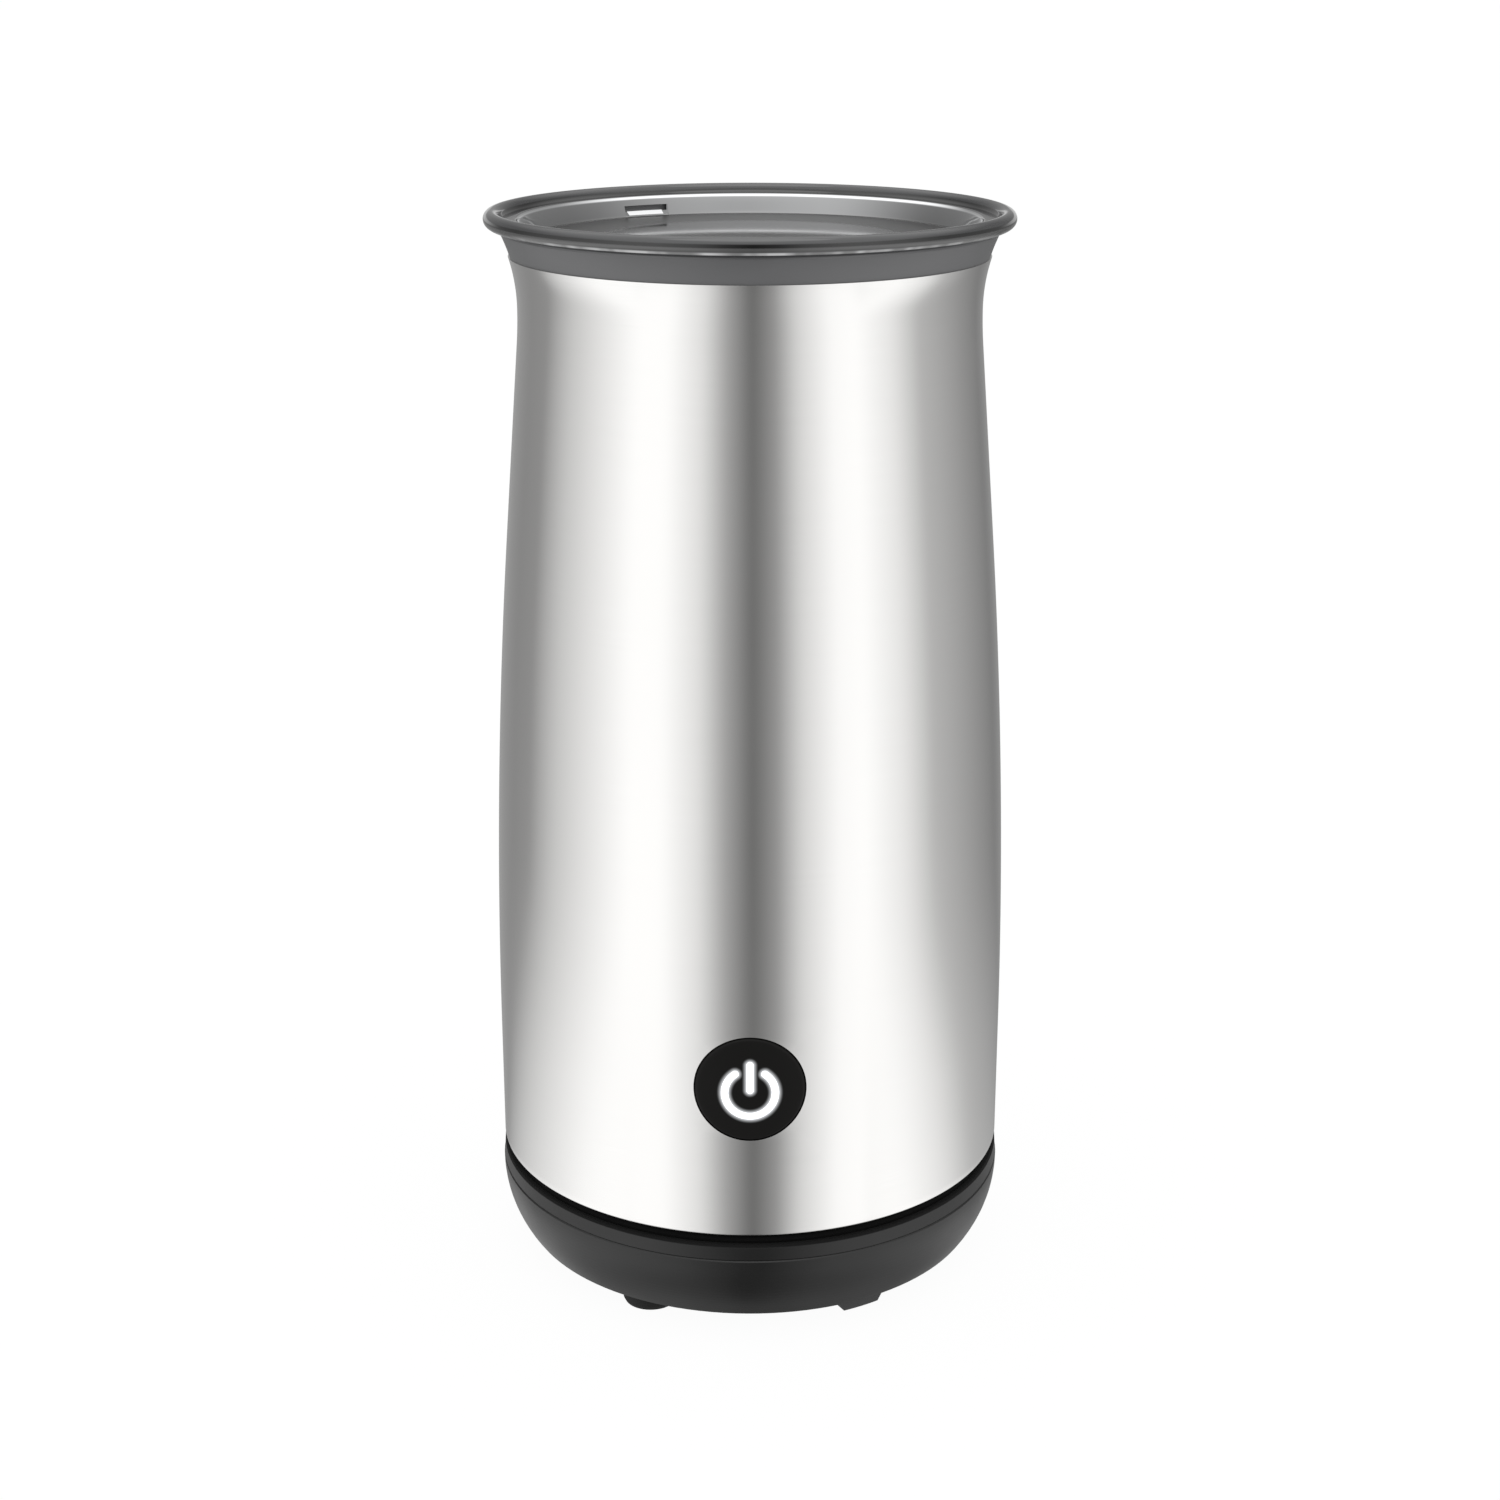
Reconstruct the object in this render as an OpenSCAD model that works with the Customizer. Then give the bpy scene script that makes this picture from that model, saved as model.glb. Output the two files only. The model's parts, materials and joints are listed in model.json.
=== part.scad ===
// Cordless milk frother: a steel jug with a heated, magnetically stirred pot,
// standing on a low power base.  Millimetres, +Z up, the table is z = 0 and
// the axis of the jug is x = y = 0.  The button looks along -Y.

/* [Power base] */
// Largest radius, at the top edge of the power base
body_r = 46.5; // [43:0.5:52]
// Height of the feet, from the table to the underside of the base
foot_h = 3.7; // [2.5:0.1:6]
// Height of the base's side, from its underside to the parting line
base_h = 12.5; // [11.5:0.5:17]
// Radius of the rounded side
base_side_r = 20.5; // [18:0.5:24]
// Wall of the base's mouldings
base_wall = 2.2; // [1.9:0.1:2.8]
// Height of the round step in the middle of the deck
deck_step_h = 2; // [1.2:0.1:3]
// Radius of a rubber foot
foot_r = 5; // [4:0.5:7]
// Distance from a foot's edge to the edge of the base's plate
foot_margin = 0.47; // [0.37:0.1:3.97]
// Length of a cord cleat across its ends
cleat_l = 8.8; // [6:0.4:10]
// Radius of the bore for the mains cord
cord_bore_r = 3.2; // [2.5:0.1:4]

/* [Connector] */
// Radius of the round connector post
post_r = 10; // [9.5:0.1:12]
// Height of the post above the deck
post_h = 8; // [6:0.5:10]
// Thickness of the brass contact rings
contact_t = 0.6; // [0.4:0.1:0.8]
// Radius of the earth pin
pin_r = 1.6; // [1.2:0.1:1.8]

/* [Jug body] */
// Height of the black trim band above the parting line
trim_h = 2.9; // [2.6:0.1:4]
// Height of the shadow groove under the steel
groove_h = 1.9; // [1:0.1:3]
// How far the steel stands back from the largest radius
sleeve_step = 0.3; // [0.1:0.1:1]
// Thickness of the steel
sleeve_t = 0.6; // [0.5:0.1:1]
// Height from the steel's foot to the pot's floor: the room for heater, motor and connector
works_h = 59.4; // [59:0.2:75]
// Height of its straight lower part
straight_h = 23; // [15:1:30]
// Radius of the barrel curve above the straight part
barrel_r = 1125; // [1000:25:1250]
// Slope of the taper that follows (inward per unit of height)
taper = 0.08; // [0.07:0.005:0.09]
// Radius of the hollow curve that ends the taper at the waist
neck_r = 75; // [50:5:100]
// Height of the flare above the waist
flare_h = 8.8; // [7:0.2:11]
// Radius of the flare
flare_r = 30; // [26:1:40]
// Height of the plastic collar above the steel
collar_h = 4.8; // [4.2:0.1:6]

/* [Lid] */
// Radius of the bead round the lid's edge
bead_t = 1.42; // [1.2:0.02:1.8]
// How far the bead's centre stands outside the collar's top edge
bead_overhang = 0.9; // [0.5:0.1:1.5]
// Depth of the recess in the lid
recess_d = 3.6; // [3:0.1:3.8]
// Thickness of the lid's floor and wall
lid_t = 1; // [0.9:0.1:1.2]
// Width of the steam slot
slot_w = 6.4; // [4:0.2:10]
// Height of the steam slot
slot_h = 1.6; // [1:0.1:1.8]
// Where the steam slot is, degrees anticlockwise from +X
slot_angle = 117.5; // [90:0.5:150]
// Height of the lid's sealing ring
seal_h = 2.4; // [2:0.1:3]

/* [Pot] */
// Depth of the pot below its rim
pot_depth = 103; // [95:1:108]
// Wall of the pot
pot_t = 1; // [0.8:0.1:1.2]
// Inside radius of the corner between floor and wall
pot_corner_r = 7; // [5:0.5:9]
// Radius of the steel pin that carries the whisk
spindle_r = 1.5; // [1.2:0.1:2]
// Height of that pin above the pot's floor
spindle_h = 22; // [20:1:30]

/* [Whisk] */
// Radius of the ring that the whisk's spring is bent into
whisk_ring_r = 13.4; // [12.6:0.2:15]
// Radius of the spring's turns, to the middle of the wire
whisk_turn_r = 2.5; // [2:0.1:3]
// Radius of the wire
wire_r = 0.5; // [0.4:0.05:0.6]
// Number of turns round the ring
whisk_turns = 30; // [20:1:34]
// Height of the whisk's wheel
wheel_h = 5; // [4.5:0.1:6]

/* [Drive] */
// Radius of the motor's can
motor_r = 13.75; // [12:0.25:15]
// Length of the motor's can
motor_h = 30; // [24:1:32]
// Radius of the motor's shaft
shaft_r = 1.5; // [1:0.1:2]
// Radius of the magnet carrier on the shaft
drive_r = 13; // [12:0.5:14.5]
// Gap between the drive magnets and the pot
drive_gap = 1.5; // [1.2:0.1:3]
// Radius of the heating tube
heater_tube_r = 3.2; // [2.5:0.1:3.5]
// Distance from the heating tube's middle to the edge of the heater plate
heater_margin = 9; // [7:0.5:11]

/* [Button] */
// Radius of the button
button_r = 9.5; // [8:0.25:11]
// Height of the button's centre above the table
button_z = 48.8; // [44:0.2:56]
// How far the button travels
button_travel = 0.8; // [0.4:0.1:1.2]
// Outer radius of the arc in the power symbol
symbol_r = 5.25; // [4:0.25:6]
// Width of the symbol's strokes
symbol_w = 1.9; // [1.2:0.1:2.2]

/* [Hidden] */
$fn = 96;

// Clearances
fit_gap = 0.15;      // between round pieces of one body
run_gap = 0.06;      // between a shaft and its bush
slide_gap = 0.1;     // between the button and its guide
lift_gap = 0.4;      // round the pieces that lift off
tiny = 0.01;

// Heights from the table upwards
parting_z = foot_h + base_h;
deck_z = parting_z + deck_step_h;
post_top_z = deck_z + post_h;
trim_z = parting_z + trim_h;
sleeve_z0 = trim_z + groove_h;
ledge_over = 0.1;    // how far the pot's ledge stands above the steel
gasket_t = 0.5;
sleeve_h = works_h + pot_depth - ledge_over - gasket_t;
sleeve_z1 = sleeve_z0 + sleeve_h;
shoulder_z = sleeve_z0 + straight_h;
waist_z = sleeve_z1 - flare_h;
collar_top_z = sleeve_z1 + collar_h;
bead_z = collar_top_z + bead_t;

// The steel's outline, from the bottom up: straight, barrel, taper, hollow, flare
sleeve_r = body_r - sleeve_step;
taper_z = shoulder_z + barrel_r * taper;
taper_r = sleeve_r - barrel_r * taper * taper / 2;
hollow_z = waist_z - neck_r * taper;
hollow_r = taper_r - taper * (hollow_z - taper_z);
waist_r = hollow_r - neck_r * taper * taper / 2;

function flare(z) = waist_r + flare_r - sqrt(flare_r * flare_r - pow(z - waist_z, 2));
function sleeve_out(z) =
    z <= shoulder_z ? sleeve_r
    : z <= taper_z ? sleeve_r - pow(z - shoulder_z, 2) / (2 * barrel_r)
    : z <= hollow_z ? taper_r - taper * (z - taper_z)
    : z <= waist_z ? waist_r + pow(waist_z - z, 2) / (2 * neck_r)
    : flare(z);

// The collar carries the flare on, a little behind the steel
collar_step = 0.27;
function collar_out(z) = flare(z) - collar_step;
collar_top_r = collar_out(collar_top_z);

// Points of an arc round [x, y], from angle a0 to a1 in n steps
function arc(x, y, r, a0, a1, n) =
    [for (i = [0:n]) let (a = a0 + (a1 - a0) * i / n) [x + r * cos(a), y + r * sin(a)]];

// Heights at which a curved outline is drawn between z0 and z1
function steps(z0, z1, n) = [for (i = [0:n]) z0 + (z1 - z0) * i / n];

module around(n, r, first = 0) {
    for (i = [0:n - 1])
        rotate(first + 360 * i / n)
            translate([r, 0, 0]) children();
}

module tube(outer, inner, h) {
    difference() {
        cylinder(r = outer, h = h);
        translate([0, 0, -1]) cylinder(r = inner, h = h + 2);
    }
}

// A wire or a coil: a round section carried along points, each with a direction to measure from
function unit(v) = v / norm(v);
function along(path, i) = unit(path[min(i + 1, len(path) - 1)] - path[max(i - 1, 0)]);
module swept(path, refs, r, sides, closed = false) {
    n = len(path);
    points = [
        for (i = [0:n - 1])
            let (
                t = closed ? unit(path[(i + 1) % n] - path[(i + n - 1) % n]) : along(path, i),
                u = unit(cross(t, refs[i])),
                v = cross(t, u)
            )
            for (k = [0:sides - 1])
                path[i] + r * (cos(360 * k / sides) * u + sin(360 * k / sides) * v)
    ];
    rings = closed ? n : n - 1;
    skin = [
        for (i = [0:rings - 1], k = [0:sides - 1])
            let (a = i * sides, b = ((i + 1) % n) * sides, k2 = (k + 1) % sides)
            each [[a + k, a + k2, b + k2], [a + k, b + k2, b + k]]
    ];
    ends = closed ? [] : [
        [for (k = [0:sides - 1]) sides - 1 - k],
        [for (k = [0:sides - 1]) (n - 1) * sides + k]
    ];
    polyhedron(points = points, faces = concat(skin, ends));
}

/* ---------- Power base ---------- */

side_c = [body_r - base_side_r, parting_z - 0.45];
deck_edge_r = body_r - 0.2;
step_in = 12.3;      // from the largest radius in to the foot of the deck's step
step_r = body_r - step_in;
step_slope = 1.3;
side_low_a = -asin((side_c[1] - foot_h) / base_side_r);
inner_side_r = base_side_r - base_wall;
plate_top_z = foot_h + base_wall;
plate_seat_r = side_c[0] + sqrt(pow(inner_side_r, 2) - pow(side_c[1] - plate_top_z, 2));
inner_low_a = -asin((side_c[1] - plate_top_z) / inner_side_r);
inner_top_a = -asin((side_c[1] - (parting_z - base_wall)) / inner_side_r);

screw_r = 1.45;
screw_hole_r = 1.7;
pilot_r = 1.5;
head_r = 2.8;
head_h = 1.2;
head_room = 0.3;
base_screw_ring_r = step_r - 4.2;
base_screw_first = -90;
base_boss_r = 3.4;
foot_first = -120;
cleat_first = -60;
plate_r = plate_seat_r - 2 * fit_gap;
foot_ring_r = plate_r - foot_r - foot_margin;
gland_z = parting_z - 6.9;
gland_out_y = side_c[0] + base_side_r - 0.6;
gland_l = 11;
gland_neck_r = cord_bore_r + 1;
gland_flange_r = cord_bore_r + 1.8;
gland_flange_t = 3.2;
gland_nose_t = 1.4;
edge_cut = 0.2;      // small bevels either side of the parting line
base_rib_t = 1.6;
base_rib_z = parting_z - base_wall - 4.8;

module screw(l) {
    cylinder(r = head_r, h = head_h);
    translate([0, 0, head_h]) cylinder(r = screw_r, h = l);
}

// Outer shape of the cord gland, and with a margin the seat that it lies in
module gland_form(margin = 0) {
    translate([0, gland_out_y - gland_l - margin, gland_z]) rotate([-90, 0, 0]) {
        cylinder(r = gland_neck_r + margin, h = gland_l - gland_nose_t + margin);
        cylinder(r = gland_flange_r + margin, h = gland_flange_t + 2 * margin);
        if (margin > 0) cylinder(r = gland_neck_r + margin, h = gland_l + 5);
    }
}

module base_shell() {
    color("#232324") difference() {
        union() {
            rotate_extrude() polygon(concat(
                arc(side_c[0], side_c[1], base_side_r, side_low_a, 0, 18),
                [
                    [body_r, parting_z - edge_cut], [deck_edge_r, parting_z],
                    [step_r + step_slope, parting_z], [step_r, deck_z],
                    [post_r + lift_gap, deck_z], [post_r + lift_gap, deck_z - base_wall],
                    [step_r - 1, deck_z - base_wall], [step_r + 0.2, parting_z - base_wall]
                ],
                arc(side_c[0], side_c[1], inner_side_r, inner_top_a, inner_low_a, 18),
                [[plate_seat_r, foot_h]]
            ));
            around(3, base_screw_ring_r, base_screw_first)
                translate([0, 0, plate_top_z])
                    cylinder(r = base_boss_r, h = deck_z - base_wall - plate_top_z + 1);
            // ribs from each screw boss to the side wall
            for (i = [0:2])
                rotate(base_screw_first + 120 * i)
                    translate([base_screw_ring_r + base_boss_r - 0.5, -base_rib_t / 2, base_rib_z])
                        cube([side_c[0] + inner_side_r - base_screw_ring_r - base_boss_r, base_rib_t, 5]);
        }
        around(3, base_screw_ring_r, base_screw_first)
            translate([0, 0, plate_top_z - 1]) cylinder(r = pilot_r, h = 8.2);
        gland_form(fit_gap);
    }
}

module cleat() {
    lip_h = foot_h - 0.5;
    lip_cut = 0.85;
    stem_l = cleat_l - 2;
    // stem, then a lip whose lower ends are chamfered
    translate([0, -stem_l / 2, -1]) cube([2.5, stem_l, 1 + tiny]);
    rotate([90, 0, 90]) linear_extrude(height = cleat_w + 1)
        polygon([
            [-cleat_l / 2, -0.9], [-cleat_l / 2, -lip_h + 1.2], [-cleat_l / 2 + lip_cut, -lip_h],
            [cleat_l / 2 - lip_cut, -lip_h], [cleat_l / 2, -lip_h + 1.2], [cleat_l / 2, -0.9]
        ]);
}

coupler_flange_r = post_r + 6;
coupler_flange_t = 2.4;
coupler_low_z = deck_z - base_wall - coupler_flange_t;
drain_w = 1.8;
drain_in_r = coupler_flange_r + 3;
drain_out_r = base_screw_ring_r - head_r - head_room - 1.9;
cleat_w = 6.5;
cleat_out_r = plate_r - 1.2;

module base_plate() {
    color("#1d1d1e") difference() {
        union() {
            translate([0, 0, foot_h]) cylinder(r = plate_r, h = base_wall);
            intersection() {
                around(3, cleat_out_r - cleat_w, cleat_first) translate([0, 0, foot_h + tiny]) cleat();
                cylinder(r = cleat_out_r, h = plate_top_z);
            }
            // ring that holds the connector up against the deck
            translate([0, 0, plate_top_z - tiny])
                tube(coupler_flange_r - 0.5, coupler_flange_r - 2.5, coupler_low_z - plate_top_z + tiny);
            around(6, coupler_flange_r - 0.7)
                translate([0, -0.7, plate_top_z - tiny]) cube([7, 1.4, 3]);
        }
        around(3, base_screw_ring_r, base_screw_first) {
            translate([0, 0, foot_h - 1]) cylinder(r = screw_hole_r, h = base_wall + 2);
            translate([0, 0, foot_h - 1]) cylinder(r = head_r + head_room, h = head_h + 1);
        }
        around(3, foot_ring_r, foot_first)
            translate([0, 0, foot_h - 1]) cylinder(r = foot_r - 1.5 + fit_gap, h = base_wall + 2);
        // drain slots between the ribs
        for (i = [0:5])
            rotate(30 + 60 * i)
                translate([drain_in_r, -drain_w / 2, foot_h - 1])
                    cube([drain_out_r - drain_in_r, drain_w, base_wall + 2]);
        gland_form(fit_gap);
    }
}

module base_feet() {
    // rubber feet, each with a stem that plugs into the plate
    color("#2c2c2e") around(3, foot_ring_r, foot_first) {
        rotate_extrude() polygon([
            [0, 0], [foot_r - 0.9, 0], [foot_r - 0.3, 0.3], [foot_r, 0.9], [foot_r, foot_h],
            [foot_r - 1.5, foot_h], [foot_r - 1.5, plate_top_z], [foot_r - 0.8, plate_top_z],
            [foot_r - 2, plate_top_z + 1.2], [0, plate_top_z + 1.2]
        ]);
    }
}

// The connector: a round post with a middle bore and two ring slots, each with its contact
slot_gap = 0.4;
ring_radii = [0.45 * post_r, 0.77 * post_r];   // middle of each contact ring
slot_floor_z = deck_z - 2.2;
ring_low_z = deck_z + 0.8;
contact_h = 2.3;
blade_w = 1.8;
blade_low_z = coupler_low_z - 5;

module base_coupler() {
    color("#2e2e30") difference() {
        union() {
            translate([0, 0, coupler_low_z]) cylinder(r = coupler_flange_r, h = coupler_flange_t);
            translate([0, 0, coupler_low_z]) cylinder(r = post_r, h = post_top_z - 0.8 - coupler_low_z);
            translate([0, 0, post_top_z - 0.8]) cylinder(r1 = post_r, r2 = post_r - 0.8, h = 0.8);
        }
        translate([0, 0, slot_floor_z]) cylinder(r = pin_r + slot_gap, h = post_h + 10);
        for (r = ring_radii)
            translate([0, 0, slot_floor_z])
                tube(r + contact_t / 2 + slot_gap, r - contact_t / 2 - slot_gap, post_h + 10);
        for (r = concat([0], ring_radii))
            translate([r - contact_t / 2 - 0.1, -blade_w / 2 - 0.1, coupler_low_z - 1])
                cube([contact_t + 0.2, blade_w + 0.2, slot_floor_z - coupler_low_z + 2]);
    }
}

module base_contacts() {
    color("#c9a24a") {
        translate([0, 0, slot_floor_z]) cylinder(r = pin_r + slot_gap - 0.1, h = contact_h);
        for (r = ring_radii)
            translate([0, 0, slot_floor_z])
                tube(r + contact_t / 2 + slot_gap - 0.1, r - contact_t / 2 - slot_gap + 0.1, contact_h);
        for (r = concat([0], ring_radii))
            translate([r - contact_t / 2, -blade_w / 2, blade_low_z])
                cube([contact_t, blade_w, slot_floor_z - blade_low_z + 0.5]);
    }
}

module base_screws() {
    color("#b9bbbd") around(3, base_screw_ring_r, base_screw_first)
        translate([0, 0, foot_h]) screw(plate_top_z + 6 - foot_h - head_h);
}

module cord_gland() {
    color("#1b1b1c") difference() {
        union() {
            gland_form();
            translate([0, gland_out_y - gland_nose_t - tiny, gland_z]) rotate([-90, 0, 0])
                cylinder(r1 = gland_neck_r, r2 = gland_neck_r - 0.5, h = gland_nose_t + tiny);
        }
        translate([0, gland_out_y - gland_l - 1, gland_z]) rotate([-90, 0, 0])
            cylinder(r = cord_bore_r, h = gland_l + 2);
    }
}

/* ---------- Connector in the jug ---------- */

cover_floor_z = deck_z + 0.6;
cover_t = 2;
cover_top_z = cover_floor_z + cover_t;
socket_r = post_r + lift_gap + 0.1;
socket_body_r = socket_r + 3;
socket_roof_z = post_top_z + 0.8;
socket_top_z = socket_roof_z + 2;
socket_flange_r = socket_body_r + 5;
terminal_top_z = socket_top_z + 2.4;

ring_seat = 1;     // depth to which the rings sit in the socket's roof

module jug_coupler() {
    color("#303033") difference() {
        union() {
            translate([0, 0, cover_floor_z]) cylinder(r = socket_body_r, h = socket_top_z - cover_floor_z);
            translate([0, 0, cover_top_z]) cylinder(r = socket_flange_r, h = 1.6);
            around(8, socket_body_r - 0.5) translate([0, -0.6, cover_top_z]) cube([4, 1.2, 4]);
        }
        translate([0, 0, cover_floor_z - 1]) cylinder(r = socket_r, h = socket_roof_z - cover_floor_z + 1);
        translate([0, 0, socket_roof_z - 1]) cylinder(r = pin_r + 0.05, h = 4);
        for (r = ring_radii) {
            translate([0, 0, socket_roof_z - 1])
                tube(r + contact_t / 2 + 0.05, r - contact_t / 2 - 0.05, 1 + ring_seat);
            translate([r - contact_t / 2 - 0.05, -blade_w / 2 - 0.05, socket_roof_z])
                cube([contact_t + 0.1, blade_w + 0.1, 4]);
        }
    }
}

module coupler_rings() {
    color("#cfa84e") {
        translate([0, 0, ring_low_z]) cylinder(r = pin_r, h = terminal_top_z - ring_low_z);
        translate([0, 0, socket_roof_z - 0.6]) cylinder(r = pin_r + 0.7, h = 0.6);
        for (r = ring_radii) {
            translate([0, 0, ring_low_z])
                tube(r + contact_t / 2, r - contact_t / 2, socket_roof_z + ring_seat - ring_low_z);
            translate([r - contact_t / 2, -blade_w / 2, socket_roof_z + ring_seat / 2])
                cube([contact_t, blade_w, terminal_top_z - socket_roof_z - ring_seat / 2]);
        }
    }
}

/* ---------- Jug: outside ---------- */

hem_in_r = sleeve_r - 1.8;
chassis_z = sleeve_z0 + sleeve_t;
leg_r = sleeve_r - 7.6;
jug_boss_r = 4;
jug_screw_ring_r = leg_r - jug_boss_r - 3.6;
jug_screw_first = 90;
guide_back = sleeve_r - 12;
board_post_r = 2.6;
board_post_first = 30;
board_post_ring_r = guide_back - board_post_r - 0.6;
board_z = socket_top_z + 1.3;
button_hole_r = button_r + slide_gap + 0.55;
guide_lip_r = button_hole_r - 0.1;

module bottom_cover() {
    color("#242425") difference() {
        union() {
            rotate_extrude() polygon([
                [socket_body_r + 0.3, cover_floor_z], [step_r + 0.7, cover_floor_z],
                [step_r + step_slope + 0.6, parting_z], [deck_edge_r, parting_z],
                [body_r - 0.1, parting_z + edge_cut], [body_r - 0.25, trim_z - 0.3], [body_r - 0.5, trim_z],
                [leg_r, trim_z], [leg_r - 1.4, cover_top_z], [socket_body_r + 0.3, cover_top_z]
            ]);
            around(3, jug_screw_ring_r, jug_screw_first)
                translate([0, 0, cover_top_z - tiny])
                    cylinder(r = jug_boss_r, h = chassis_z - cover_top_z + tiny);
            around(3, board_post_ring_r, board_post_first)
                translate([0, 0, cover_top_z - tiny])
                    cylinder(r = board_post_r, h = board_z - cover_top_z + tiny);
            // ribs from the socket's rim to the posts
            for (i = [0:5])
                rotate(30 + 60 * i)
                    translate([socket_flange_r + 1, -0.7, cover_top_z - tiny])
                        cube([board_post_ring_r - socket_flange_r - 3, 1.4, chassis_z - cover_top_z]);
        }
        around(3, jug_screw_ring_r, jug_screw_first) {
            translate([0, 0, cover_floor_z - 1]) cylinder(r = screw_hole_r, h = 6);
            translate([0, 0, cover_floor_z - 1]) cylinder(r = head_r + head_room, h = head_h + 1.1);
        }
        around(3, board_post_ring_r, board_post_first)
            translate([0, 0, board_z - 6]) cylinder(r = 1, h = 7);
    }
}

module sleeve_seal() {
    color("#0e0e0f") rotate_extrude() polygon([
        [hem_in_r - 1.6, trim_z], [sleeve_r - 1, trim_z], [sleeve_r - 1, trim_z + 0.5],
        [sleeve_r - 1.3, trim_z + groove_h / 2], [sleeve_r - 1, sleeve_z0 - 0.4], [sleeve_r - 1, sleeve_z0],
        [hem_in_r - 1.6, sleeve_z0]
    ]);
}

sleeve_zs = concat(
    steps(shoulder_z, taper_z, 12),
    [hollow_z],
    [for (z = steps(hollow_z, waist_z, 4)) if (z > hollow_z) z],
    [for (z = steps(waist_z, sleeve_z1, 8)) if (z > waist_z) z]
);

module outer_sleeve() {
    hem_r = 0.4;     // rounded edge where the steel turns in
    color("#c9cacb") difference() {
        rotate_extrude() polygon(concat(
            [[hem_in_r, sleeve_z0]],
            arc(sleeve_r - hem_r, sleeve_z0 + hem_r, hem_r, -90, 0, 6),
            [for (z = sleeve_zs) [sleeve_out(z), z]],
            [for (i = [len(sleeve_zs) - 1:-1:0]) [sleeve_out(sleeve_zs[i]) - sleeve_t, sleeve_zs[i]]],
            [
                [sleeve_r - sleeve_t, chassis_z + 0.2], [sleeve_r - sleeve_t - 0.2, chassis_z],
                [hem_in_r, chassis_z]
            ]
        ));
        button_frame() translate([0, 0, sleeve_r - 8]) cylinder(r = button_hole_r, h = 20);
    }
}

skirt_t = 1.2;
skirt_out_r = waist_r - sleeve_t - fit_gap;
skirt_in_r = skirt_out_r - skirt_t;
skirt_z0 = waist_z - 2.5;
pot_out_r = skirt_in_r - fit_gap;
pot_in_r = pot_out_r - pot_t;
ledge_z = sleeve_z1 + ledge_over;
pot_rim_t = 0.6;
pot_lip_r = 0.7;
pot_rim_z = ledge_z + gasket_t;
collar_in_r = skirt_in_r + 2;
collar_edge_r = 0.55;
collar_zs = steps(sleeve_z1, collar_top_z - collar_edge_r - 0.1, 5);
seat_zs = steps(waist_z + 1, sleeve_z1, 5);

module rim_collar() {
    color("#626364") rotate_extrude() polygon(concat(
        [
            [collar_in_r, collar_top_z - 0.4], [collar_in_r, ledge_z], [skirt_in_r, ledge_z],
            [skirt_in_r, skirt_z0], [skirt_out_r - 0.4, skirt_z0], [skirt_out_r, skirt_z0 + 1]
        ],
        [for (z = seat_zs) [sleeve_out(z) - sleeve_t - fit_gap, z]],
        [for (z = collar_zs) [collar_out(z), z]],
        arc(collar_top_r - collar_edge_r, collar_top_z - collar_edge_r, collar_edge_r, 12, 90, 5),
        [[collar_in_r + 0.4, collar_top_z]]
    ));
}

module pot_gasket() {
    color("#3a3a3c") translate([0, 0, ledge_z]) tube(collar_in_r - fit_gap, skirt_in_r + 0.1, gasket_t);
}

/* ---------- Jug: pot ---------- */

pot_floor_z = pot_rim_z - pot_depth;
pot_under_z = pot_floor_z - pot_t;
pot_rim_r = collar_in_r - fit_gap;

module inner_pot() {
    color("#55575a") rotate_extrude() polygon(concat(
        [[spindle_r + 0.5, pot_floor_z]],
        arc(pot_in_r - pot_corner_r, pot_floor_z + pot_corner_r, pot_corner_r, -90, 0, 10),
        arc(pot_in_r + pot_lip_r, pot_rim_z + pot_rim_t - pot_lip_r, pot_lip_r, 180, 90, 4),
        arc(pot_rim_r - pot_rim_t / 2, pot_rim_z + pot_rim_t / 2, pot_rim_t / 2, 90, -90, 6),
        [[pot_out_r, pot_rim_z]],
        arc(pot_in_r - pot_corner_r, pot_floor_z + pot_corner_r, pot_corner_r + pot_t, 0, -90, 10),
        [[spindle_r + 0.5, pot_under_z]]
    ));
}

spindle_flange_r = spindle_r + 3;
spindle_flange_t = 0.8;

module whisk_spindle() {
    color("#b4b6b8") rotate_extrude() polygon([
        [0, pot_under_z - 0.5], [spindle_r + 1.2, pot_under_z - 0.5], [spindle_r + 1.5, pot_under_z],
        [spindle_r + 0.5, pot_under_z], [spindle_r + 0.5, pot_floor_z],
        [spindle_flange_r, pot_floor_z], [spindle_flange_r, pot_floor_z + spindle_flange_t],
        [spindle_r, pot_floor_z + spindle_flange_t], [spindle_r, pot_floor_z + spindle_h - 0.8],
        [spindle_r * 0.55, pot_floor_z + spindle_h], [0, pot_floor_z + spindle_h]
    ]);
}

/* ---------- Jug: chassis, drive and heater ---------- */

heater_plate_t = 2.5;
heater_plate_z = pot_under_z - heater_plate_t;
heater_plate_r = pot_in_r - 1.5;
heater_ring_r = heater_plate_r - heater_margin;
drive_h = 7;
drive_z = pot_under_z - drive_gap - drive_h;
deck_gap = 1.5;
motor_plate_t = 2.5;
motor_plate_z = drive_z - deck_gap - motor_plate_t;
motor_z = motor_plate_z - motor_h;
motor_nose_r = 5;
motor_screw_r = 1.2;
motor_screw_ring_r = 8.5;
chassis_t = 2.2;
leg_t = 2.4;
leg_w = 15;
rest_r = heater_plate_r - 2.4;
window_a = 64;
window_w = 11;
window_in_r = motor_r + 4.25;
jug_screw_reach = 7.4;     // above the chassis ring's underside

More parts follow.
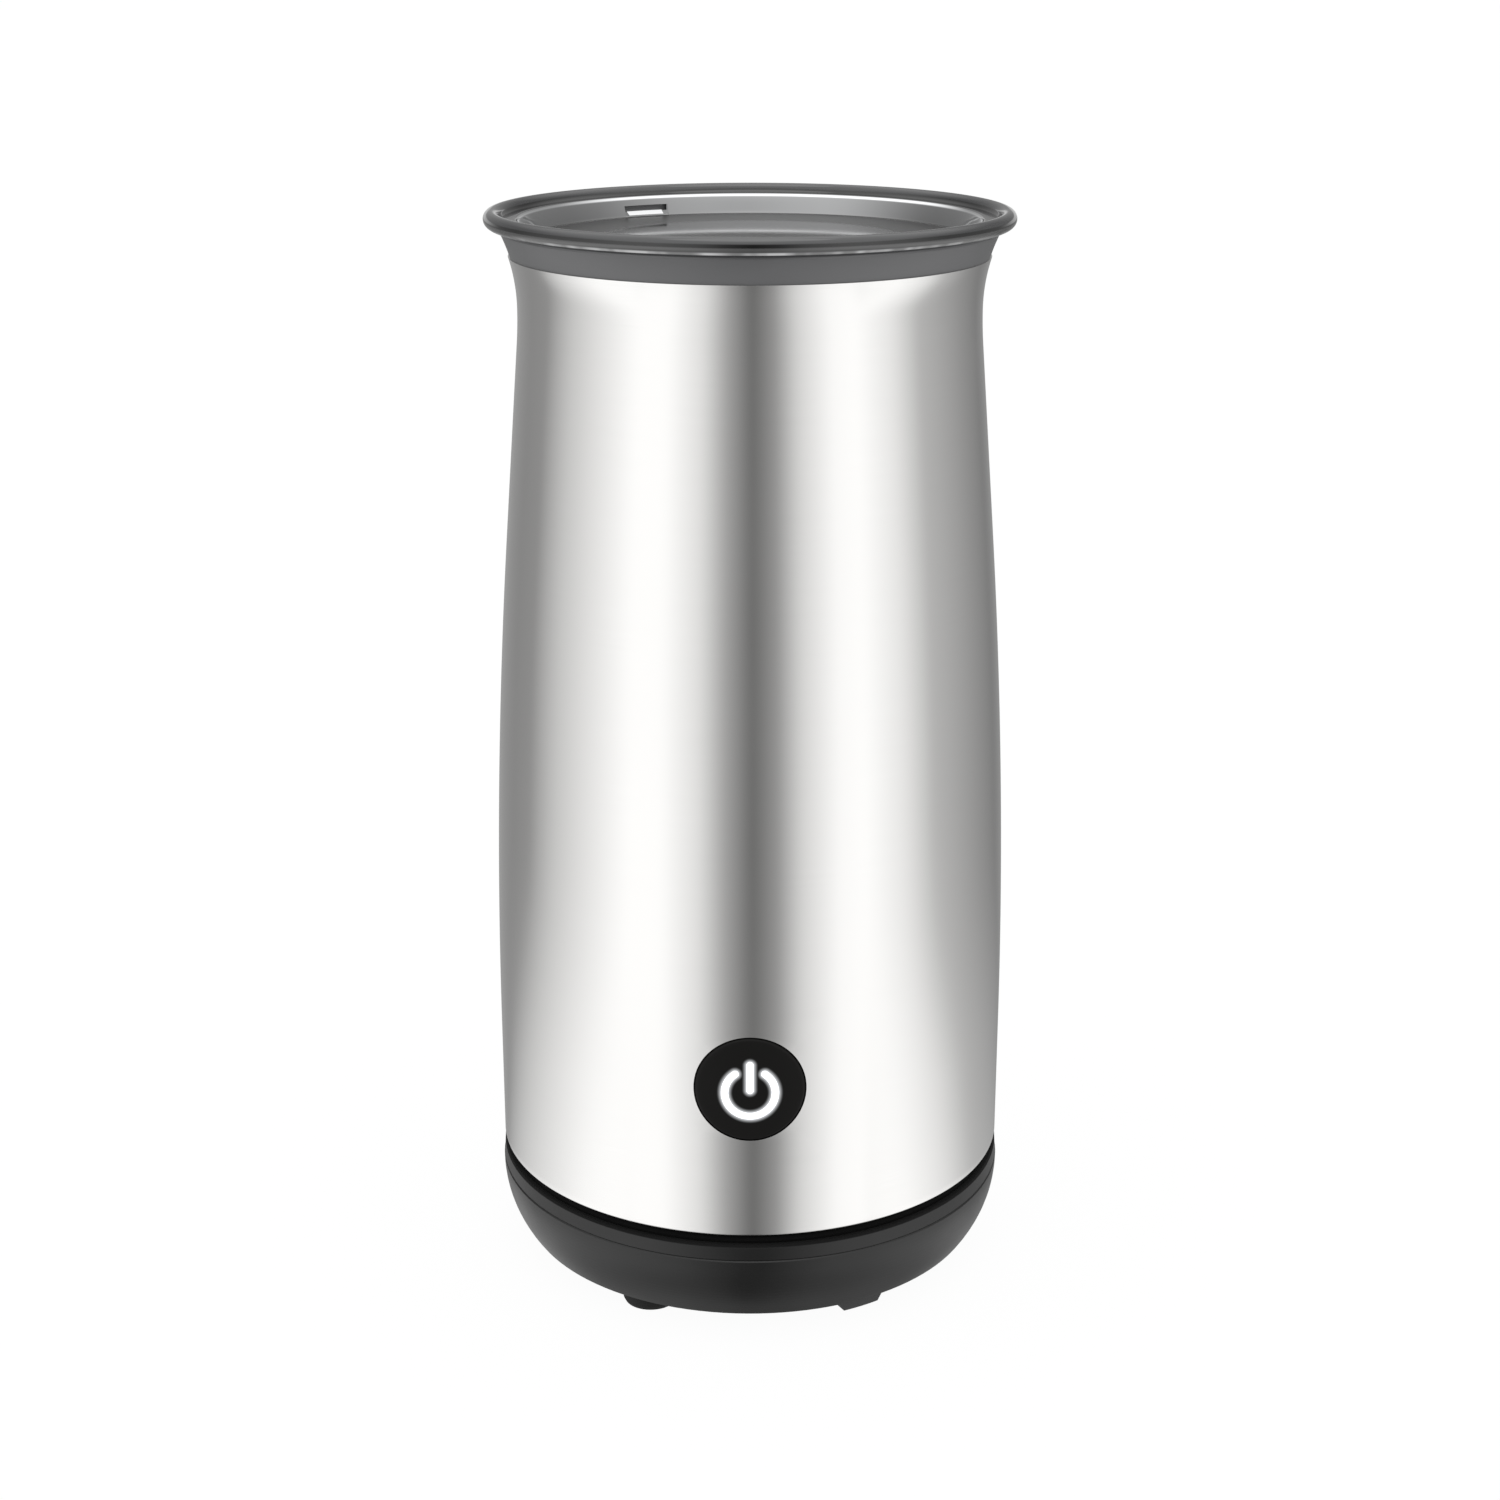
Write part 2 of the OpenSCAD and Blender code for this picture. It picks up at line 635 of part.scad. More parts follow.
module chassis() {
    color("#3c3d40") difference() {
        union() {
            translate([0, 0, chassis_z]) tube(sleeve_r - sleeve_t - 0.5, leg_r - 2, chassis_t);
            around(3, jug_screw_ring_r, jug_screw_first) {
                translate([0, 0, chassis_z]) cylinder(r = jug_boss_r, h = 9);
                translate([0, -4, chassis_z]) cube([leg_r - jug_screw_ring_r, 8, chassis_t]);
                translate([2.5, -0.9, chassis_z]) cube([leg_r - jug_screw_ring_r, 1.8, 8]);
            }
            // three legs, parts of one ring
            intersection() {
                translate([0, 0, chassis_z])
                    tube(leg_r + leg_t, leg_r, motor_plate_z + motor_plate_t - chassis_z);
                around(3, leg_r, jug_screw_first)
                    translate([-5, -leg_w / 2, chassis_z - 1]) cube([12, leg_w, motor_plate_z + 5]);
            }
            // motor deck with its upstanding rim, which bears the heater plate
            translate([0, 0, motor_plate_z]) cylinder(r = leg_r + leg_t, h = motor_plate_t);
            translate([0, 0, motor_plate_z])
                tube(heater_plate_r + 0.6, rest_r, heater_plate_z - motor_plate_z);
        }
        translate([0, 0, motor_plate_z - 1]) cylinder(r = motor_nose_r + 0.1, h = 9);
        around(2, motor_screw_ring_r)
            translate([0, 0, motor_plate_z - 1]) cylinder(r = motor_screw_r + 0.2, h = motor_plate_t + 2);
        around(3, jug_screw_ring_r, jug_screw_first)
            translate([0, 0, chassis_z - 1]) cylinder(r = pilot_r, h = 9);
        // windows in the deck, for the leads and for air
        for (i = [0:2])
            rotate(jug_screw_first + 60 + 120 * i - window_a / 2)
                translate([0, 0, motor_plate_z - 1]) rotate_extrude(angle = window_a)
                    translate([window_in_r, 0]) square([window_w, motor_plate_t + 2]);
    }
}

module jug_screws() {
    color("#b9bbbd") around(3, jug_screw_ring_r, jug_screw_first)
        translate([0, 0, cover_floor_z + 0.1]) screw(chassis_z + jug_screw_reach - cover_floor_z - head_h);
}

can_t = 1.2;
endcap_t = 2;
tail_h = 2;
tag_x = 9;
tag_w = 2.8;
tag_t = 0.6;

module motor_can() {
    color("#a9abae") difference() {
        union() {
            translate([0, 0, motor_z]) cylinder(r = motor_r, h = motor_h);
            translate([0, 0, motor_z + motor_h - tiny]) cylinder(r = motor_nose_r, h = motor_plate_t);
        }
        translate([0, 0, motor_z - 1]) cylinder(r = motor_r - can_t, h = motor_h - 1.5 + 1);
        translate([0, 0, motor_z]) cylinder(r = shaft_r + run_gap, h = motor_h + 10);
        around(2, motor_screw_ring_r)
            translate([0, 0, motor_z + motor_h - 4]) cylinder(r = motor_screw_r, h = 5);
    }
}

module motor_endcap() {
    color("#e2e0d6") difference() {
        union() {
            translate([0, 0, motor_z - endcap_t]) cylinder(r = motor_r, h = endcap_t);
            translate([0, 0, motor_z - tiny]) cylinder(r = motor_r - can_t - 0.05, h = 2);
            translate([0, 0, motor_z - endcap_t - tail_h]) cylinder(r = 4, h = tail_h + tiny);
        }
        translate([0, 0, motor_z - endcap_t - 0.8]) cylinder(r = shaft_r + run_gap, h = 10);
        for (x = [-1, 1])
            translate([x * tag_x - tag_w / 2 - 0.1, -tag_t / 2 - 0.1, motor_z - endcap_t - 1])
                cube([tag_w + 0.2, tag_t + 0.2, endcap_t + 4]);
    }
}

module motor_terminals() {
    color("#c9a24a") for (x = [-1, 1])
        translate([x * tag_x - tag_w / 2, -tag_t / 2, motor_z - endcap_t - 2.5])
            cube([tag_w, tag_t, endcap_t + 4.5]);
}

stator_t = 2.55;
stator_in_r = motor_r - can_t - 0.05 - stator_t;
magnet_a = 124;

module motor_magnets() {
    color("#4a4b4d") for (a = [0, 180])
        rotate(a - magnet_a / 2) translate([0, 0, motor_z + 0.2 * motor_h]) rotate_extrude(angle = magnet_a)
            translate([stator_in_r, 0]) square([stator_t, 0.6 * motor_h]);
}

module motor_screws() {
    color("#b9bbbd") around(2, motor_screw_ring_r)
        translate([0, 0, motor_plate_z + motor_plate_t]) {
            cylinder(r = 2.2, h = 1.2);
            translate([0, 0, -motor_plate_t - 2.2])
                cylinder(r = motor_screw_r - 0.02, h = motor_plate_t + 2.2 + tiny);
        }
}

module heater_plate() {
    color("#b7b9bb") translate([0, 0, heater_plate_z])
        tube(heater_plate_r, drive_r + 2, heater_plate_t);
}

heater_flat = 0.6;     // the tube is pressed flat by this much where it meets the plate
heater_first = 115;
heater_turn = 310;

module heating_element() {
    tube_z = heater_plate_z - heater_tube_r + heater_flat;
    color("#8d7f74") {
        translate([0, 0, tube_z]) rotate(heater_first) rotate_extrude(angle = heater_turn)
            difference() {
                translate([heater_ring_r, 0]) circle(r = heater_tube_r);
                translate([heater_ring_r - 5, heater_tube_r - heater_flat]) square([10, 5]);
            }
        for (a = [heater_first + 1, heater_first + heater_turn - 1])
            rotate(a) translate([heater_ring_r, 0, tube_z])
                rotate([a < 180 ? 90 : -90, 0, 0]) cylinder(r = 1.2, h = 6);
    }
}

cutout_a = heater_first - 25;

module thermal_cutout() {
    color("#d8d2c2") rotate(cutout_a) translate([heater_ring_r, 0, 0]) {
        translate([0, 0, heater_plate_z - 5]) cylinder(r = 2.6, h = 5);
        translate([0, 0, heater_plate_z - 5.5]) cylinder(r = 1.2, h = 1);
    }
}

/* ---------- Jug: electronics ---------- */

board_t = 1.6;
board_r = leg_r - 1;
board_in_r = max(motor_r, socket_body_r) + 2.5;
board_top_z = board_z + board_t;
part_in_r = board_in_r + 3.25;
relay = [9, 14, 13];
capacitor_r = 5;
capacitor_h = 15;
film_capacitor = [11, 6, 9];
controller = [6.5, 10, 1.6];
lead_plug = [5, 7.5, 6];
terminal_block = [9, 8, 8];
notch_l = 20;        // cut for the foot of the button's guide
plug_in_r = part_in_r + 4.5;
plug_aside = 3.5;
board_cut_h = board_t + 2.4;

module control_board() {
    color("#2f6b45") translate([0, 0, board_z]) difference() {
        tube(board_r, board_in_r, board_t);
        around(3, board_post_ring_r, board_post_first)
            translate([0, 0, -1]) cylinder(r = 1.2, h = board_cut_h);
        around(3, jug_screw_ring_r, jug_screw_first)
            translate([0, 0, -1]) cylinder(r = jug_boss_r + 0.4, h = board_cut_h);
        translate([-foot_w / 2 - 0.3, -guide_back - notch_l, -1])
            cube([foot_w + 0.6, notch_l + 0.3, board_cut_h]);
    }
}

module board_parts() {
    translate([0, 0, board_top_z]) {
        color("#1f4fa0") rotate(150) translate([part_in_r, 2.2, 0]) cube(relay);
        color("#3b3b46") translate([part_in_r + 1.5 + capacitor_r, -4 - capacitor_r, 0])
            cylinder(r = capacitor_r, h = capacitor_h);
        color("#b8862e") translate([part_in_r + 0.5, 3, 0]) cube(film_capacitor);
        color("#161616") rotate(-150) translate([part_in_r, -controller[1] / 2, 0]) cube(controller);
        color("#e6e2d4") rotate(-90) translate([plug_in_r, -plug_aside - lead_plug[1], 0]) cube(lead_plug);
        color("#e6e2d4") rotate(60) translate([part_in_r + 1.5, -2, 0]) cube(terminal_block);
    }
}

/* ---------- Button ---------- */

// Local z runs outwards from the jug's axis, local y runs up
module button_frame() {
    translate([0, 0, button_z]) rotate([90, 0, 0]) children();
}

face_r = sleeve_out(button_z) + 0.25;
symbol_back = sleeve_r - 3.5;
foot_w = 10;
foot_t = 5.2;
guide_r = button_r + 3;
cap_shoulder = guide_back + 5.5;
cap_flange_r = button_r + 0.9;
cap_flange_t = 1.2;
plunger_top = guide_back + 4.2;
plunger_r = 1.7;
switch_w = 6;
switch_h = 3.4;
button_board = [22, 21, 1.4];
led = [1.6, 2, 0.9];

module body_solid(r) {
    rotate([90, 0, 0]) translate([0, 0, -guide_r - 1]) cylinder(r = r, h = 2 * guide_r + 2);
}

module button_guide() {
    color("#101011") difference() {
        union() {
            button_frame() intersection() {
                translate([0, 0, guide_back]) cylinder(r = guide_lip_r, h = sleeve_r);
                body_solid(sleeve_out(button_z));
            }
            button_frame() intersection() {
                translate([0, 0, guide_back]) cylinder(r = guide_r, h = sleeve_r);
                body_solid(sleeve_out(button_z + guide_r) - sleeve_t - 0.1);
            }
            // foot that stands on the chassis ring
            translate([-foot_w / 2, -guide_back - foot_t, chassis_z + chassis_t])
                cube([foot_w, foot_t, button_z - button_r - 1.5 - chassis_z - chassis_t]);
        }
        button_frame() {
            translate([0, 0, guide_back - 1])
                cylinder(r = cap_flange_r + 0.4, h = cap_shoulder - guide_back + 1);
            translate([0, 0, guide_back - 1]) cylinder(r = button_r + slide_gap, h = sleeve_r);
        }
    }
}

symbol_gap_a = 36;    // half of the arc's gap
symbol_drop = 0.3;    // how far the arc's centre lies below the button's

module power_shape(w) {
    mid_r = symbol_r - symbol_w / 2;
    bar_low = -0.04 * symbol_r;
    bar_top = symbol_r - symbol_w / 2 - 0.25;
    translate([0, -symbol_drop]) {
        difference() {
            circle(r = mid_r + w / 2);
            circle(r = mid_r - w / 2);
            polygon(2 * button_r * [
                [0, 0], [sin(symbol_gap_a), cos(symbol_gap_a)], [-sin(symbol_gap_a), cos(symbol_gap_a)]
            ]);
        }
        for (s = [-1, 1])
            translate(mid_r * [s * sin(symbol_gap_a), cos(symbol_gap_a)]) circle(r = w / 2);
    }
    translate([-w / 2, bar_low]) square([w, bar_top - bar_low]);
    for (y = [bar_low, bar_top])
        translate([0, y]) circle(r = w / 2);
}

module button_cap() {
    color("#1c1c1d") button_frame() difference() {
        union() {
            intersection() {
                translate([0, 0, plunger_top]) cylinder(r = button_r, h = sleeve_r);
                body_solid(face_r);
            }
            translate([0, 0, cap_shoulder - slide_gap - cap_flange_t])
                cylinder(r = cap_flange_r, h = cap_flange_t);
        }
        translate([0, 0, plunger_top - 1]) difference() {
            cylinder(r = button_r - 1.3, h = sleeve_r - 2.4 - plunger_top + 1);
            cylinder(r = 2.4, h = 30);
        }
        translate([0, 0, symbol_back]) linear_extrude(height = 10) power_shape(symbol_w + 0.1);
    }
}

module power_symbol() {
    color("#f4f6f7") button_frame() intersection() {
        translate([0, 0, symbol_back]) linear_extrude(height = 10) power_shape(symbol_w);
        body_solid(face_r + 0.03);
    }
}

module tact_switch() {
    color("#2a2a2c") button_frame() difference() {
        translate([-switch_w / 2, -switch_w / 2, guide_back]) cube([switch_w, switch_w, switch_h]);
        translate([0, 0, guide_back + 0.4]) cylinder(r = plunger_r + slide_gap, h = 10);
    }
}

module switch_plunger() {
    plunger_low = guide_back + 0.5 + button_travel;
    color("#d9d4c6") button_frame()
        translate([0, 0, plunger_low]) cylinder(r = plunger_r, h = plunger_top - plunger_low);
}

module button_board() {
    color("#2f6b45") button_frame()
        translate([-button_board[0] / 2, 0.5 - button_board[1] / 2, guide_back - button_board[2]])
            cube(button_board);
}

module indicator_leds() {
    color("#eef4ff") button_frame() for (a = [45:90:315])
        rotate(a) translate([switch_w / 2 + 1.6, -led[1] / 2, guide_back]) cube(led);
}

/* ---------- Rotor ---------- */

rotor_r = stator_in_r - 0.5;
shaft_low_z = motor_z - endcap_t - 0.7;
magnet_r = 3;
magnet_h = 4.5;
magnet_ring_r = 8.5;
press_gap = 0.01;

module motor_shaft() {
    color("#d3d5d7") translate([0, 0, shaft_low_z])
        cylinder(r = shaft_r, h = drive_z + drive_h - 1.2 - shaft_low_z);
}

module rotor_core() {
    core_h = motor_h / 2;
    commutator_h = 3.5;
    color("#8a5a33") translate([0, 0, motor_z + 0.27 * motor_h]) difference() {
        union() {
            cylinder(r = rotor_r, h = core_h);
            translate([0, 0, -commutator_h]) cylinder(r = shaft_r + 2, h = commutator_h + 0.5);
        }
        translate([0, 0, -10]) cylinder(r = shaft_r + press_gap, h = core_h + 20);
        for (a = [0:120:240])
            rotate(a) translate([rotor_r / 2 - 0.5, -1, -1]) cube([rotor_r, 2, core_h + 2]);
    }
}

module drive_hub() {
    color("#dcdad2") translate([0, 0, drive_z]) difference() {
        union() {
            cylinder(r1 = drive_r - 1, r2 = drive_r, h = 1);
            translate([0, 0, 1]) cylinder(r = drive_r, h = drive_h - 1);
        }
        translate([0, 0, -1]) cylinder(r = shaft_r + press_gap, h = drive_h - 0.2);
        around(4, magnet_ring_r)
            translate([0, 0, drive_h - magnet_h]) cylinder(r = magnet_r + press_gap, h = magnet_h + 1);
        around(4, magnet_ring_r + 2, 45) translate([0, 0, -1]) cylinder(r = 1.3, h = drive_h + 2);
    }
}

module drive_magnets() {
    color("#bfc1c4") around(4, magnet_ring_r)
        translate([0, 0, drive_z + drive_h - magnet_h]) cylinder(r = magnet_r, h = magnet_h);
}

/* ---------- Whisk ---------- */

bush_z = pot_floor_z + spindle_flange_t;
bush_wall = 1.6;
bush_r = spindle_r + run_gap + bush_wall;
bush_flange_r = bush_r + 1.2;
bush_flange_t = 1.2;
wheel_z = bush_z + bush_flange_t;
wheel_r = whisk_ring_r - 2.1;
wheel_bore_r = bush_r + run_gap;
sleeve_top_z = pot_floor_z + spindle_h - 5.5;
coil_z = wheel_z + wheel_h / 2;
coil_r = whisk_turn_r + wire_r;
whisk_magnet_r = 2.2;
whisk_magnet_h = 2.6;
whisk_magnet_ring_r = wheel_bore_r + 1.9 + whisk_magnet_r;

module whisk_bush() {
    color("#efefec") translate([0, 0, bush_z]) difference() {
        union() {
            cylinder(r = bush_flange_r, h = bush_flange_t);
            cylinder(r = bush_r, h = sleeve_top_z + 1.6 - bush_z);
            translate([0, 0, sleeve_top_z + 0.1 - bush_z])
                cylinder(r1 = bush_r + 0.9, r2 = bush_r + 0.3, h = 1.5);
        }
        translate([0, 0, -1]) cylinder(r = spindle_r + run_gap, h = 60);
    }
}

module whisk_wheel() {
    color("#222325") difference() {
        union() {
            rotate_extrude() difference() {
                polygon([
                    [wheel_bore_r, wheel_z], [wheel_r - 0.3, wheel_z], [wheel_r, wheel_z + 0.3],
                    [wheel_r, wheel_z + wheel_h - 0.3], [wheel_r - 0.3, wheel_z + wheel_h],
                    [wheel_bore_r + 2.6, wheel_z + wheel_h], [wheel_bore_r + 1.8, wheel_z + wheel_h + 0.8],
                    [wheel_bore_r + 1.6, sleeve_top_z - 0.4], [wheel_bore_r + 1.2, sleeve_top_z],
                    [wheel_bore_r, sleeve_top_z]
                ]);
                translate([whisk_ring_r, coil_z]) circle(r = coil_r + 0.05);
            }
            // three mixing vanes
            around(3, 0, 30) rotate([90, 0, 0]) translate([0, 0, -0.6]) linear_extrude(height = 1.2)
                polygon([
                    [wheel_bore_r + 1, wheel_z + wheel_h - 0.2], [wheel_r - 1.2, wheel_z + wheel_h - 0.2],
                    [wheel_r - 2, wheel_z + wheel_h + 1.5], [wheel_bore_r + 1.4, sleeve_top_z - 2],
                    [wheel_bore_r + 1, sleeve_top_z - 2]
                ]);
        }
        around(4, whisk_magnet_ring_r) translate([0, 0, wheel_z - 1])
            cylinder(r = whisk_magnet_r + press_gap, h = whisk_magnet_h + 1);
    }
}

module whisk_magnets() {
    color("#bfc1c4") around(4, whisk_magnet_ring_r) translate([0, 0, wheel_z])
        cylinder(r = whisk_magnet_r, h = whisk_magnet_h);
}

// A spring wound round the wheel's rim: each turn is a circle, carried round the ring
coil_steps = 12;
coil_sides = 6;

module whisk_coil() {
    n = whisk_turns * coil_steps;
    out = [
        for (i = [0:n - 1])
            let (ring_a = 360 * i / n, turn_a = 360 * whisk_turns * i / n)
            [cos(turn_a) * cos(ring_a), cos(turn_a) * sin(ring_a), sin(turn_a)]
    ];
    path = [
        for (i = [0:n - 1])
            let (ring_a = 360 * i / n)
            [whisk_ring_r * cos(ring_a), whisk_ring_r * sin(ring_a), coil_z] + whisk_turn_r * out[i]
    ];
    color("#c7c9cb") swept(path, out, wire_r, coil_sides, closed = true);
}

/* ---------- Lid ---------- */

bead_r = collar_top_r + bead_overhang;
recess_r = skirt_out_r - 0.1;
recess_floor_z = bead_z - recess_d;
lid_under_z = recess_floor_z - lid_t;
edge_r = 1;          // rounded top edge of the recess's wall
wall_lean = 0.8;     // how far its foot stands in from its top
lean_a = atan(wall_lean / (recess_d - edge_r));
wall_gap = 0.5;      // between the lid's wall and the collar
lid_wall_r = collar_in_r - wall_gap;
foot_fillet = 0.6;
foot_in_r = recess_r - wall_lean - foot_fillet;
seal_carrier_r = pot_in_r - 1.3;
seal_gap = 0.15;
seal_z = lid_under_z - 0.6 - seal_h;

module lid() {
    color("#7b7d80", 0.9) difference() {
        rotate_extrude() polygon(concat(
            [[0, recess_floor_z]],
            arc(foot_in_r, recess_floor_z + foot_fillet, foot_fillet, -90, -lean_a, 4),
            arc(recess_r + edge_r, bead_z - edge_r, edge_r, 180 - lean_a, 90, 6),
            [[bead_r - bead_t - 0.1, bead_z]],
            arc(bead_r, bead_z, bead_t, 165, -90, 20),
            [
                [lid_wall_r, collar_top_z], [lid_wall_r, lid_under_z + 0.5], [lid_wall_r - 0.5, lid_under_z],
                [seal_carrier_r, lid_under_z], [seal_carrier_r, seal_z],
                [seal_carrier_r + 0.4, seal_z], [seal_carrier_r + 0.2, seal_z - 0.6],
                [seal_carrier_r - 1.2, seal_z - 0.6], [seal_carrier_r - 1.2, lid_under_z], [0, lid_under_z]
            ]
        ));
        rotate(slot_angle) translate([recess_r - 1.5, -slot_w / 2, recess_floor_z + 0.1])
            cube([4, slot_w, slot_h]);
    }
}

module lid_seal() {
    lip_r = pot_in_r - seal_gap;
    color("#c8cacc") rotate_extrude() polygon([
        [seal_carrier_r + 0.02, seal_z + 0.02], [lip_r - 0.6, seal_z + 0.02], [lip_r, seal_z + 0.5],
        [lip_r - 0.7, seal_z + 0.9], [lip_r - 0.7, seal_z + seal_h - 0.9], [lip_r, seal_z + seal_h - 0.5],
        [lip_r - 0.6, seal_z + seal_h], [seal_carrier_r + 0.02, seal_z + seal_h]
    ]);
}

/* ---------- What is drawn ---------- */

base_shell();
base_plate();
base_feet();
base_coupler();
base_contacts();
base_screws();
cord_gland();
jug_coupler();
coupler_rings();
bottom_cover();
sleeve_seal();
outer_sleeve();
rim_collar();
pot_gasket();
inner_pot();
whisk_spindle();
chassis();
jug_screws();
motor_can();
motor_endcap();
motor_terminals();
motor_magnets();
motor_screws();
heater_plate();
heating_element();
thermal_cutout();
control_board();
board_parts();
button_guide();
button_board();
tact_switch();
indicator_leds();
button_cap();
power_symbol();
switch_plunger();
motor_shaft();
rotor_core();
drive_hub();
drive_magnets();
whisk_bush();
whisk_wheel();
whisk_magnets();
whisk_coil();
lid();
lid_seal();
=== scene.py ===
# %% [markdown]
# # A cordless milk frother, dressed in Blender
#
# The real object is a waisted steel jug, about a hand tall, that stands on a low black power
# base.  A lit push button sits low on its front, a smoke-grey lid with a rolled edge closes
# its top, and inside is a dark coated pot with a small spring whisk that magnets pull round.
#
# The mechanical model is already made.  It comes in as a fixed frame: every part is in its
# place and nothing here moves it.  This lesson gives each surface its finish, and makes anew
# the surfaces that show most: each is a formula over a grid of two parameters, because a
# turned or pressed part *is* such a formula, and the grid can be as fine as the light needs.

# %% The frame
import json
import math
import bmesh
import bpy
import numpy as np
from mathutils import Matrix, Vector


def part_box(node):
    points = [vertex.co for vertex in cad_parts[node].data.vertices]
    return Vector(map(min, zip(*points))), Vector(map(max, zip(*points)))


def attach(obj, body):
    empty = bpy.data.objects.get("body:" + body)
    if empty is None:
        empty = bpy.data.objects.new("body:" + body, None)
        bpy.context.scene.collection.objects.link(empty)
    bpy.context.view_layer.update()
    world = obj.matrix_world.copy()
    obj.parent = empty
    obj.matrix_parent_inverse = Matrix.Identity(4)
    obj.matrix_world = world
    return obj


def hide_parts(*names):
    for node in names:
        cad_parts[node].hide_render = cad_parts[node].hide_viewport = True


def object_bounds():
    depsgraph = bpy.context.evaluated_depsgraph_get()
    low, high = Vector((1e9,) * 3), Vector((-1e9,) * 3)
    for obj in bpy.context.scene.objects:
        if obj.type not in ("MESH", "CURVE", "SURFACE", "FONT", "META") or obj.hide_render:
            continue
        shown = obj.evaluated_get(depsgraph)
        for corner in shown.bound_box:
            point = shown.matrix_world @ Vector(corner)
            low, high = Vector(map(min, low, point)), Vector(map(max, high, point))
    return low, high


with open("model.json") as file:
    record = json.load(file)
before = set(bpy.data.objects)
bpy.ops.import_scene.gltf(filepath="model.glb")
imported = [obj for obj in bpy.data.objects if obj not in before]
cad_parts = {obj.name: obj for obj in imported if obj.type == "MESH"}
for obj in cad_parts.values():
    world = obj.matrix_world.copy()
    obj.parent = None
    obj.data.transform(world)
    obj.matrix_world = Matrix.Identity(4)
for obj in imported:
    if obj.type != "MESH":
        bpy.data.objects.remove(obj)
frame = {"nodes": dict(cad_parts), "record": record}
nodes = frame["nodes"]
cad_low, cad_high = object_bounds()

# %% [markdown]
# ## Measures
#
# Blender works in metres and a maker in millimetres.  Sizes below are in millimetres, and one
# factor turns them into metres when a mesh is made.  Places come from the frame: `span` gives
# the lowest and highest corner of a part, so a surface that is made anew lies exactly where
# the part that it stands for lies.

# %% Measures
MM = 0.001


def span(node):
    """Lowest and highest corner of a part at rest, in millimetres."""
    low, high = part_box(node)
    return np.array(low) / MM, np.array(high) / MM


steel_low, steel_high = span("outer_sleeve")
STEEL_R = steel_high[0]
STEEL_Z0 = steel_low[2]
STEEL_Z1 = steel_high[2]
total_h = cad_high[2] / MM
print(f"steel: radius {STEEL_R:.1f}, from {STEEL_Z0:.1f} to {STEEL_Z1:.1f} mm; whole {total_h:.1f} mm high")

# %% [markdown]
# ## Camera
#
# A product is seen from a little above, at about twice its own height away, so that the lid
# shows as a flat ellipse and the steel stays nearly upright.  A perspective camera is placed
# by its distance, its height and its tilt; the lens then sets how large the object stands.

# %% Camera
CAMERA_BACK = 430.4
CAMERA_UP = 234.9
CAMERA_TILT = 18.12
CAMERA_LENS = 60.12

camera_data = bpy.data.cameras.new("camera")
camera_data.lens = CAMERA_LENS
camera_data.sensor_width = 36.0
camera = bpy.data.objects.new("camera", camera_data)
camera.location = (0.0, -CAMERA_BACK * MM, CAMERA_UP * MM)
camera.rotation_euler = (math.radians(90 - CAMERA_TILT), 0.0, 0.0)
bpy.context.scene.collection.objects.link(camera)
bpy.context.scene.camera = camera
print("camera:", tuple(round(v, 3) for v in camera.location), "tilted down", CAMERA_TILT, "degrees")

# %% [markdown]
# ## Node trees in one line each
#
# Materials and the sky are small graphs of nodes.  `add` makes one node, sets its options and
# fills its inputs: a number goes into the socket, and another node's output is linked to it.
# With it a graph reads from top to bottom like a recipe.

# %% Node helper
def add(tree, kind, inputs=None, **options):
    """One new node in a tree; each input is a value or another node's output socket."""
    made = tree.nodes.new("ShaderNode" + kind)
    for option, value in options.items():
        setattr(made, option, value)
    for key, value in (inputs or {}).items():
        if isinstance(value, bpy.types.NodeSocket):
            tree.links.new(value, made.inputs[key])
        else:
            made.inputs[key].default_value = value
    return made


def grey(level):
    """A neutral colour of that brightness."""
    return (level, level, level, 1.0)


print("a neutral grey:", grey(0.18))

# %% [markdown]
# Six kinds of node come back all the time, so each gets a word: a calculation, a product, the
# distance sqrt(x^2 + y^2), a mix of two colours, a range laid over another range (evenly, or as
# a soft step), and a noise.  Two more words read the place on the object.  Each gives back a
# socket, ready to go into the next node.

# %% Node words
def calc(tree, kind, a, b=0.0, c=0.0):
    """One calculation."""
    return add(tree, "Math", {0: a, 1: b, 2: c}, operation=kind).outputs[0]


def product(tree, *factors):
    """All the factors multiplied."""
    result = factors[0]
    for factor in factors[1:]:
        result = calc(tree, "MULTIPLY", result, factor)
    return result


def distance(tree, x, y):
    """sqrt(x^2 + y^2)."""
    return calc(tree, "SQRT", calc(tree, "ADD", product(tree, x, x), product(tree, y, y)))


def blend(tree, share, a, b, how="MIX"):
    """Colour a going over to colour b as the share goes from 0 to 1."""
    sockets = {"Factor": share, "A": a, "B": b}
    return add(tree, "Mix", sockets, data_type="RGBA", blend_type=how).outputs["Result"]


def scaled(tree, value, start, end, low=0.0, high=1.0, shape="LINEAR"):
    """The range from start to end laid over the range from low to high."""
    sockets = {"Value": value, "From Min": start, "From Max": end, "To Min": low, "To Max": high}
    return add(tree, "MapRange", sockets, interpolation_type=shape).outputs["Result"]


def band(tree, value, start, end, low=0.0, high=1.0):
    """A soft step: low before start, high after end, and a smooth rise between."""
    return scaled(tree, value, start, end, low, high, "SMOOTHSTEP")


def noise(tree, place, scale, detail=2.0):
    """Soft noise with about that many bumps to the metre; most of it lies from 0.3 to 0.7."""
    return add(tree, "TexNoise", {"Vector": place, "Scale": scale, "Detail": detail}).outputs["Fac"]


def object_place(tree):
    """Place on the object, in metres in the shared frame."""
    return add(tree, "TexCoord").outputs["Object"]


